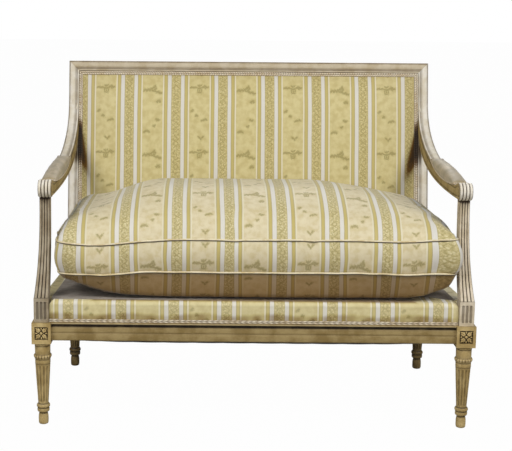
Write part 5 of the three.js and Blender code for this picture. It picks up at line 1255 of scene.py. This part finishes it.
webShape = {"width": 50.0, "columnShare": 0.2605, "rowShare": 0.2963}
columnPitch = 2 * layout["rearLegX"] * webShape["columnShare"]
rowPitch = (rearRailY - frontRailY - layout["railThickness"]) * webShape["rowShare"]
seatMiddleY = (frontRailY + rearRailY) / 2
seatStraps, strapLength = [], 0.0
for k in range(-3, 4):
    x = k * columnPitch / 2
    seatStraps.append(slab(strap((x, -1.0, 238.7), (x, 538.0, 238.7), 50, (1, 0, 0), (0, 0, 0.35), 6), (0, 0, 0.5)))
    strapLength += 0.539
for row in range(3):
    y = seatMiddleY + (row - 1) * rowPitch
    reach = sideX(y) + 1.0
    seatStraps.append(slab(strap((-reach, y, 238.7), (reach, y, 238.7), 50, (0, 1, 0), (0, 0, -0.35), 14), (0, 0, 0.5)))
    strapLength += 2 * reach / 1000
seatWebbing = addPiece("seatWebbing", seatStraps, "jute", replaces=["seat_webbing"])

backStraps, strapLength = [], 0.0
openHalf = stileOuterX - memberWidth
for k in range(6):
    x = (k + 1 - 3.5) * openHalf * 2 / 7
    backStraps.append(slab(strap((x, 0, 107.6), (x, 0, 651.0), 50, (1, 0, 0), (0, 0.35, 0), 8), (0, 0.5, 0)))
    strapLength += 0.5434
for k in range(3):
    z = 107.3 + 544.0 * (k + 1) / 4
    backStraps.append(slab(strap((-535.4, 0, z), (535.4, 0, z), 50, (0, 0, 1), (0, -0.35, 0), 12), (0, 0.5, 0)))
    strapLength += 1.0708
for part in backStraps:
    part["verts"] = tilted(part["verts"] + [0, -13.6, 0])
backWebbing = addPiece("backWebbing", backStraps, "jute", replaces=["back_webbing"])

canvasV, canvasU = np.meshgrid(np.linspace(0, 1, 50), np.linspace(-1, 1, 100), indexing="ij")
canvasY = 2.0 + 532.0 * canvasV
canvasX = canvasU * (sideX(canvasY) - 22.0)
canvasEdge = np.minimum(np.minimum(canvasY - 2.0, 534.0 - canvasY), (sideX(canvasY) - 22.0) - np.abs(canvasX))
canvasZ = 292.2 + 30.0 * smooth(canvasEdge / 56.0)
springCanvas = addPiece("springCanvas", [slab(np.stack([canvasX, canvasY, canvasZ], -1), (0, 0, -0.6))], "jute", replaces=["spring_canvas"])


def dustCoverPart():
    """Thin cloth under the seat: it hangs between the rails by sag (1 - u^2)(1 - v^2), cut back round the legs."""
    v, u = np.meshgrid(np.linspace(0, 1, 61), np.linspace(-1, 1, 121), indexing="ij")
    y = -1.0 + 539.0 * v
    reach = sideX(y) + 1.0
    frontCut = layout["frontLegX"] - layout["frontBlock"] / 2 - 1.0
    rearCut = layout["rearLegX"] - layout["rearBlock"] / 2 - 1.0
    reach = np.where(y < layout["frontBlock"] / 2 + 1, frontCut, np.where(y > 516, rearCut, reach))
    x = u * reach
    sag = 17.0 * (1 - u ** 6) * (1 - (1 - np.minimum(v * 9, 1)) ** 2) * np.minimum(1, (1 - v) * 6) * (1 - 0.3 * v)
    z = 236.9 - sag - 0.7 * np.abs(np.sin(u * 21)) * np.minimum(1, sag / 8)
    return slab(np.stack([x, y, z], -1), (0, 0, 0.5))


dustCover = addPiece("dustCover", [dustCoverPart()], "cambric", replaces=["dust_cover"])
print("hidden cloth made")


# Loose cushion
cushion = {
    "halfWidth": 551.0, "front": -20.0, "rear": 537.0, "foot": 352.5, "top": 641.0, "lowerSeam": 425.0, "upperSeam": 513.0,
    "inset": 8.0, "corner": 78.0, "drawIn": 5.0, "cell": 9.0, "boxRows": 10, "start": 6.0, "cap": 24.0, "pressure": 4.0,
    "frames": 20, "swellShare": 0.15, "foldCap": 7.0, "pucker": 2.4, "pipingRadius": 3.2, "leftBulge": 12.0, "rightBulge": 33.0,
    "rightCorner": 40.0, "leftCorner": 14.0, "seamDip": 12.0,
}
# How far the cover has risen from the flat, as a share of the height to the seam, at distances in from the edge.
undersideRight = ([0, 8, 24, 62, 120, 185], [1, 0.82, 0.57, 0.27, 0.07, 0])
undersideLeft = ([0, 20, 75, 120, 181, 260], [1, 0.86, 0.55, 0.3, 0.11, 0])
undersideFront = ([0, 1.5, 4, 7, 10, 15], [1, 0.75, 0.4, 0.14, 0.03, 0])


def roundedPlace(s, t, halfX, halfY, radius):
    """Square grid places on a rectangle with round corners: inside each corner square, (a, b) goes to
    (a sqrt(1 - b^2/2), b sqrt(1 - a^2/2)), which turns the square into a quarter disc."""
    x, y = s * halfX, t * halfY
    a = np.clip((np.abs(x) - (halfX - radius)) / radius, 0, 1)
    b = np.clip((np.abs(y) - (halfY - radius)) / radius, 0, 1)
    corner = (a > 0) & (b > 0)
    x = np.where(corner, np.sign(x) * (halfX - radius + radius * a * np.sqrt(1 - b * b / 2)), x)
    y = np.where(corner, np.sign(y) * (halfY - radius + radius * b * np.sqrt(1 - a * a / 2)), y)
    return x, y


def cushionPart(start):
    """Top and bottom panels are grids; the boxing joins their edges. With q the distance in from the seam over half
    the depth, the top rises by (1 - (1 - q)^2)^0.62, less where the filling has gone slack towards the ends, and the
    underside falls from the seam to a flat: fast along the front and slowly at the ends."""
    c = cushion
    halfX, halfY = c["halfWidth"] - c["inset"] - start, (c["rear"] - c["front"]) / 2 - c["inset"] - start
    middleY = (c["rear"] + c["front"]) / 2
    nx, ny = int(2 * c["halfWidth"] / c["cell"]), int((c["rear"] - c["front"]) / c["cell"])
    t, s = np.meshgrid(np.linspace(-1, 1, ny + 1), np.linspace(-1, 1, nx + 1), indexing="ij")
    x, y = roundedPlace(s, t, halfX, halfY, c["corner"])
    a = np.clip(1 - (halfX - np.abs(x)) / halfY, 0, 1)
    b = np.clip(1 - (halfY - np.abs(y)) / halfY, 0, 1)
    q = 1 - np.clip((a ** 8 + b ** 8) ** 0.125, 0, 1)
    edge = (np.abs(s) == 1) | (np.abs(t) == 1)
    q[edge] = 0
    slack = np.where(x > 0, 0.26 * smooth((x - 140) / 300) * (1 - smooth((x - 480) / 60)),
                     0.34 * smooth((-x - 245) / 205) * (1 - 0.85 * smooth((-x - 455) / 75)))
    over = c["upperSeam"] + (c["top"] - start - c["upperSeam"]) * (1 - (1 - q) ** 2) ** 0.62 * (1 - slack)
    fromEnds = np.where(x > 0, np.interp(halfX - np.abs(x), *undersideRight), np.interp(halfX - np.abs(x), *undersideLeft))
    fromFront = np.interp(halfY - np.abs(y), *undersideFront)
    lift = np.clip((fromEnds ** 3 + fromFront ** 3) ** (1 / 3), 0, 1)
    lift[edge] = 1
    under = c["foot"] + start / 2 + (c["lowerSeam"] - c["foot"] - start / 2) * lift
    drawX = 1 - c["drawIn"] * (1 - t ** 2) / halfX * np.abs(s) ** 3
    drawY = 1 - c["drawIn"] * (1 - s ** 2) / halfY * np.abs(t) ** 3
    x, y = x * drawX, y * drawY + middleY
    count = (ny + 1) * (nx + 1)
    index = np.arange(count).reshape(ny + 1, nx + 1)
    loop = np.concatenate([index[0, :-1], index[:-1, -1], index[-1, :0:-1], index[:0:-1, 0]])
    top = np.stack([x, y, over], -1).reshape(-1, 3)
    bottom = np.stack([x, y, under], -1).reshape(-1, 3)
    ring = top[loop]
    outDirection = ring[:, :2] - np.roll(ring[:, :2], 1, axis=0)
    outDirection = outDirection + np.roll(ring[:, :2], -1, axis=0) - ring[:, :2]
    outDirection = np.stack([outDirection[:, 1], -outDirection[:, 0]], -1)
    outDirection /= np.linalg.norm(outDirection, axis=1)[:, None]
    rows = []
    for k in range(1, c["boxRows"]):
        share = k / c["boxRows"]
        bulge = c["inset"] * math.sin(math.pi * share)
        level = np.empty_like(ring)
        level[:, :2] = ring[:, :2] + outDirection * bulge
        level[:, 2] = c["lowerSeam"] + (c["upperSeam"] - c["lowerSeam"]) * share
        rows.append(level)
    size = len(loop)
    lower = count + loop
    levels = [lower] + [2 * count + k * size + np.arange(size) for k in range(len(rows))] + [loop]
    topQuads = np.stack([index[:-1, :-1], index[:-1, 1:], index[1:, 1:], index[1:, :-1]], -1).reshape(-1, 4)
    boxing = np.concatenate([np.stack([lo, np.roll(lo, -1), np.roll(hi, -1), hi], -1) for lo, hi in zip(levels[:-1], levels[1:])])
    quads = np.concatenate([topQuads, topQuads[:, ::-1] + count, boxing])
    verts = np.concatenate([top, bottom] + rows)
    run = np.concatenate([[0], np.cumsum(np.linalg.norm(np.diff(ring[:, :2], axis=0), axis=1))])
    run = run - np.interp(nx / 2, np.arange(size), run)
    around = np.zeros(len(verts))
    for level in levels:
        around[level] = run
    used = np.unique(np.concatenate([quads.ravel()]))
    renumber = np.full(len(verts), -1)
    renumber[used] = np.arange(len(used))
    part = {"verts": verts[used], "quads": renumber[quads], "tris": np.zeros((0, 3), int), "glaze": np.zeros(len(used))}
    # along the top and the underside the cloth's place is the length over the surface from the front seam
    lengths = [np.concatenate([np.zeros((1, nx + 1)), np.cumsum(np.hypot(np.diff(y, axis=0), np.diff(level, axis=0)), axis=0)])
               for level in (over, under)]
    upTop = silkPlace["topUp"] * silkPlace["rise"] + lengths[0]
    upUnder = silkPlace["underUp"] * silkPlace["rise"] - lengths[1]
    along = np.concatenate([upTop.ravel(), upUnder.ravel(), np.zeros(len(verts) - 2 * count)])
    part["uv"] = clothMap(verts[:, 0], along, "cushion")[used]
    part["sideUv"] = clothMap(around, verts[:, 2] - silkPlace["boxingFlower"] + silkPlace["rise"] / 2, "cushion")[used]
    part["sideQuads"] = np.arange(len(quads)) >= 2 * len(topQuads)
    return outward(part), renumber[loop], renumber[lower], run


def inflated(part):
    """Blender's cloth blows the cover up from a slightly small shape; each vertex then moves by at most the cap."""
    c = cushion
    trial = bpy.data.objects.new("cushionTrial", meshFrom("cushionTrial", [part]))
    bpy.context.scene.collection.objects.link(trial)
    cloth = trial.modifiers.new("cloth", "CLOTH")
    settings = cloth.settings
    settings.use_pressure = True
    settings.uniform_pressure_force = c["pressure"]
    settings.quality = 6
    settings.mass = 0.3
    settings.tension_stiffness = settings.compression_stiffness = 15
    settings.shear_stiffness = 8
    settings.bending_stiffness = 0.6
    settings.effector_weights.gravity = 0
    settings.shrink_min = -0.012
    cloth.collision_settings.use_collision = False
    scene = bpy.context.scene
    cloth.point_cache.frame_start, cloth.point_cache.frame_end = 1, c["frames"]
    for number in range(1, c["frames"] + 1):
        scene.frame_set(number)
    result = trial.evaluated_get(bpy.context.evaluated_depsgraph_get())
    blown = np.empty(len(result.data.vertices) * 3, np.float32)
    result.data.vertices.foreach_get("co", blown)
    blown = blown.reshape(-1, 3).astype(float) * 1000 - [0, layout["rowShift"], 0]
    bpy.data.objects.remove(trial)
    scene.frame_set(1)
    move = blown - part["verts"]
    length = np.linalg.norm(move, axis=1)[:, None]
    print("cushion moved by", round(float(length.mean()), 1), "at most", round(float(length.max()), 1))
    return part["verts"] + move * np.minimum(1, c["cap"] / np.maximum(length, 1e-6))


def meshSmooth(values, quads, times):
    """Each round moves a vertex's value half way to the mean of its neighbours along the edges."""
    ends = np.concatenate([quads[:, [0, 1]], quads[:, [1, 2]], quads[:, [2, 3]], quads[:, [3, 0]]])
    ends = np.concatenate([ends, ends[:, ::-1]])
    count = np.bincount(ends[:, 0], minlength=len(values))[:, None]
    for k in range(times):
        total = np.stack([np.bincount(ends[:, 0], values[ends[:, 1], a], minlength=len(values)) for a in range(values.shape[1])], -1)
        values = 0.5 * values + 0.5 * total / count
    return values


def settled(full, small, blown, upper, lower, run):
    """The filled shape with the blown cover's folds on it. The slow part of the cloth's movement is taken down to a
    share and its quick part kept; gathers run out from the seams as a sine along the seam times d exp(-d)."""
    c = cushion
    move = blown - small["verts"]
    slow = meshSmooth(move, small["quads"], 60)
    quick = move - slow
    quick *= np.minimum(1, c["foldCap"] / np.maximum(np.linalg.norm(quick, axis=1), 1e-6))[:, None]
    verts = full["verts"] + c["swellShare"] * slow + quick
    quads = full["quads"]
    across = np.cross(verts[quads[:, 2]] - verts[quads[:, 0]], verts[quads[:, 3]] - verts[quads[:, 1]])
    normal = np.stack([sum(np.bincount(quads[:, k], across[:, a], minlength=len(verts)) for k in range(4)) for a in range(3)], -1)
    normal = meshSmooth(normal / np.linalg.norm(normal, axis=1)[:, None], quads, 4)
    for seam, phase in ((upper, 0.0), (lower, 2.0)):
        nearest = np.empty(len(verts), int)
        distance = np.empty(len(verts))
        for piece in np.array_split(np.arange(len(verts)), 12):
            apart = np.linalg.norm(verts[piece, None] - verts[seam][None], axis=2)
            nearest[piece], distance[piece] = apart.argmin(1), apart.min(1)
        along = run[nearest]
        gather = np.sin(along / 6.3 + phase + 1.9 * np.sin(along / 37 + phase)) * (0.55 + 0.45 * np.sin(along / 83 + phase))
        verts = verts + normal * (c["pucker"] * gather * distance / 14 * np.exp(1 - distance / 14))[:, None]
    x, y, z = verts.T.copy()
    low, high = c["foot"] + 0.3, c["top"] - 0.6
    frontness = smooth((150 - y) / 120)
    dip = np.exp(-((x + 434) / 105) ** 2) - 0.6 * smooth((x + 330) / 160) * smooth((z - 440) / 60) - 0.7 * smooth((x - 400) / 110)
    z = z - c["seamDip"] * dip * np.exp(-((z - 475) / 75) ** 2) * frontness
    z = np.where(z < low + 6, low + 6 * np.exp((z - low - 6) / 6), z)
    z = np.where(z > high - 6, high - 6 * np.exp((high - 6 - z) / 6), z)
    x = np.clip(x, -c["halfWidth"] + 0.6, c["halfWidth"] - 0.6)
    behindPosts = smooth((y - 76) / 60) * smooth((520 - y) / 240)
    middle = np.exp(-((z - 485) / 80) ** 2)
    side = smooth((np.abs(x) - 380) / 170)
    x = x + np.where(x > 0, c["rightBulge"], -c["leftBulge"]) * behindPosts * middle * side
    # the front corners are pressed out in front of the arm posts, the right one more
    cornerX, cornerY = c["halfWidth"] - c["corner"], c["front"] + c["corner"]
    turn = np.degrees(np.arctan2(y - cornerY, np.abs(x) - cornerX))
    reach = np.clip(np.hypot(np.abs(x) - cornerX, y - cornerY) / c["corner"], 0, 1) ** 1.3
    nose = np.exp(-((turn + 48) / 24) ** 2) * reach * np.exp(-((z - 465) / np.where(z > 465, 135, 95)) ** 2)
    nose *= (np.abs(x) > cornerX) * (y < cornerY)
    x, y = x + nose * np.where(x > 0, c["rightCorner"], -c["leftCorner"]), y - nose * np.where(x > 0, 20.0, 3.0)
    y = np.clip(y, c["front"] + 0.4, c["rear"] - 0.4)
    return np.stack([x, y, z], -1)


def cushionPaintedShade(verts, upper, lower):
    """Painted shade on the cover: darker down the boxing towards the lower seam, over all the underside, along the
    lower seam, and black at the foot where it lies on the seat.
    """
    z, seam, top = verts[:, 2], verts[lower, 2].mean(), verts[upper, 2].mean()
    paintedShading = 0.22 * smooth((top - z) / (top - seam))
    paintedShading = np.maximum(paintedShading, 0.86 * smooth((seam - 2 - z) / 16))
    paintedShading = np.maximum(paintedShading, 1.75 * smooth((361 - z) / 8))
    paintedShading[lower] = np.maximum(paintedShading[lower], 0.8)
    return paintedShading


def tube(loop, radius, sides=16, ripple=0.0):
    """A round cord carried along a closed line: each ring is a circle in the plane of the sideways and up directions."""
    ahead = np.roll(loop, -1, axis=0) - np.roll(loop, 1, axis=0)
    ahead /= np.linalg.norm(ahead, axis=1)[:, None]
    sideways = np.cross(ahead, [0, 0, 1.0])
    sideways /= np.linalg.norm(sideways, axis=1)[:, None]
    up = np.cross(sideways, ahead)
    angle = np.linspace(0, 2 * np.pi, sides, endpoint=False)
    r = radius * (1 + ripple * np.sin(np.arange(len(loop)) * 2.1)[:, None] * np.cos(angle * 2))
    points = loop[:, None, :] + sideways[:, None, :] * (r * np.cos(angle))[..., None] + up[:, None, :] * (r * np.sin(angle))[..., None]
    # the lower side of the cord takes painted shade
    held = np.broadcast_to(smooth((0.15 - np.sin(angle)) / 0.5), r.shape)
    return grid(points, held.copy(), loopU=True, loopV=True)


def closedSmooth(loop, times):
    for k in range(times):
        loop = loop * 0.5 + (np.roll(loop, 1, axis=0) + np.roll(loop, -1, axis=0)) * 0.25
    return loop


part, upperLoop, lowerLoop, run = cushionPart(0.0)
smallPart = cushionPart(cushion["start"])[0]
blown = inflated(smallPart)
part["verts"] = settled(part, smallPart, blown, upperLoop, lowerLoop, run)
part["glaze"] = cushionPaintedShade(part["verts"], upperLoop, lowerLoop)
cushionCover = addPiece("seatCushion", [part], "cushionSilk", body="cushion", replaces=["cushion_core", "cushion_cover"], sharp=180)
cushionCover.modifiers.new("smoother", "SUBSURF").levels = 1
cushionCover.modifiers["smoother"].render_levels = 1
for name, loopIndex, node in (("cushionPipingUpper", upperLoop, "cushion_piping_upper"), ("cushionPipingLower", lowerLoop, "cushion_piping_lower")):
    seam = closedSmooth(part["verts"][loopIndex], 3)
    out = np.roll(seam, -1, axis=0) - np.roll(seam, 1, axis=0)
    out = np.stack([out[:, 1], -out[:, 0], out[:, 0] * 0], -1)
    out /= np.linalg.norm(out, axis=1)[:, None]
    addPiece(name, [tube(seam + out * 1.2, cushion["pipingRadius"])], "piping", body="cushion", replaces=[node], sharp=180)
print("cushion made")


# CAD parts that stay as they are inside the seat
insideFinish = {"seat_spring": "springWire", "seat_cross": "beech", "corner_block": "beech", "peg": "beech"}
for name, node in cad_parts.items():
    for start, finish in insideFinish.items():
        if name.startswith(start):
            node.data.materials.clear()
            node.data.materials.append(finishes[finish][0])

# Floor, light and camera
studio = {
    "ground": "#A9A7A2", "worldLevel": 0.15, "floorShare": 0.985,
    "lamps": [  # name, place, aim, size, strength in watts
        ("left", (-1.9, -1.9, 2.6), (0.0, 0.1, 0.5), 1.1, 49.0),
        ("right", (1.9, -1.9, 2.6), (0.0, 0.1, 0.5), 1.1, 52.0),
        ("front", (-0.4, -4.2, 1.6), (0.0, 0.0, 0.5), 1.8, 32.0),
        ("rear", (0.5, 3.0, 2.4), (0.0, 0.2, 0.5), 1.6, 42.0),
    ],
}
cameraPlace = {
    "place": (-0.13095, -3.44377, 1.13121), "yaw": -0.0057, "pitch": 0.1643, "roll": 0.0074,
    "lens": 83.06, "shiftX": 0.1103, "shiftY": -0.041,
}


def paperFloor():
    """Matt white studio paper: seen by the camera it glows a little so that it stays white, and still takes shadow."""
    material, tree, shader = startMaterial("whiteStudioPaper")
    colour = linear(studio["ground"])
    shader.inputs["Base Color"].default_value = colour
    shader.inputs["Roughness"].default_value = 0.95
    shader.inputs["Specular IOR Level"].default_value = 0.1
    place = add(tree, "ShaderNodeTexCoord").outputs["Object"]
    bumped(tree, shader, noise(tree, place, 400.0, 3.0), 0.05, 0.0003)
    glow = add(tree, "ShaderNodeEmission", Color=(1, 1, 1, 1), Strength=1.0).outputs[0]
    seen = add(tree, "ShaderNodeLightPath").outputs["Is Camera Ray"]
    share = maths(tree, "MULTIPLY", seen, studio["floorShare"])
    both = add(tree, "ShaderNodeMixShader", i0=share, i1=shader.outputs[0], i2=glow).outputs[0]
    tree.links.new(both, tree.nodes["Material Output"].inputs["Surface"])
    return material


floorMesh = bpy.data.meshes.new("studioFloor")
floorMesh.from_pydata([(-30, -12, 0), (30, -12, 0), (30, 40, 0), (-30, 40, 0)], [], [(0, 1, 2, 3)])
floorMesh.materials.append(paperFloor())
floor = bpy.data.objects.new("studioFloor", floorMesh)
bpy.context.scene.collection.objects.link(floor)

world = bpy.data.worlds.new("studioWorld")
bpy.context.scene.world = world
world.use_nodes = True
worldTree = world.node_tree
level = studio["worldLevel"]
plain = worldTree.nodes["Background"]
plain.inputs[0].default_value = (level, level, level * 1.0, 1)
white = add(worldTree, "ShaderNodeBackground", Color=(1, 1, 1, 1), Strength=1.0).outputs[0]
rays = add(worldTree, "ShaderNodeLightPath")
chosen = add(worldTree, "ShaderNodeMixShader", i0=rays.outputs["Is Camera Ray"], i1=plain.outputs[0], i2=white).outputs[0]
worldTree.links.new(chosen, worldTree.nodes["World Output"].inputs["Surface"])

for name, place, aim, size, power in studio["lamps"]:
    lamp = bpy.data.lights.new(name, "AREA")
    lamp.shape, lamp.size, lamp.energy = "SQUARE", size, power
    holder = bpy.data.objects.new(name, lamp)
    bpy.context.scene.collection.objects.link(holder)
    holder.location = place
    holder.visible_camera = False
    away = np.subtract(place, aim)
    away /= np.linalg.norm(away)
    right = np.cross([0, 0, 1.0], away)
    right /= np.linalg.norm(right)
    holder.matrix_world = Matrix([[right[i], np.cross(away, right)[i], away[i], place[i]] for i in range(3)] + [[0, 0, 0, 1]])

lens = bpy.data.cameras.new("photoCamera")
lens.lens, lens.sensor_width = cameraPlace["lens"], 36.0
lens.shift_x, lens.shift_y = cameraPlace["shiftX"], cameraPlace["shiftY"]
lens.clip_start, lens.clip_end = 0.05, 100
photoCamera = bpy.data.objects.new("photoCamera", lens)
bpy.context.scene.collection.objects.link(photoCamera)
yaw, pitch, roll = (cameraPlace[k] for k in ("yaw", "pitch", "roll"))
forward = np.array([math.sin(yaw) * math.cos(pitch), math.cos(yaw) * math.cos(pitch), -math.sin(pitch)])
level = np.array([math.cos(yaw), -math.sin(yaw), 0])
upward = np.cross(level, forward)
right = level * math.cos(roll) + upward * math.sin(roll)
above = upward * math.cos(roll) - level * math.sin(roll)
photoCamera.matrix_world = Matrix([[right[i], above[i], -forward[i], cameraPlace["place"][i]] for i in range(3)] + [[0, 0, 0, 1]])
bpy.context.scene.camera = photoCamera
bpy.context.scene.view_settings.view_transform = "Standard"

print("scene ready")
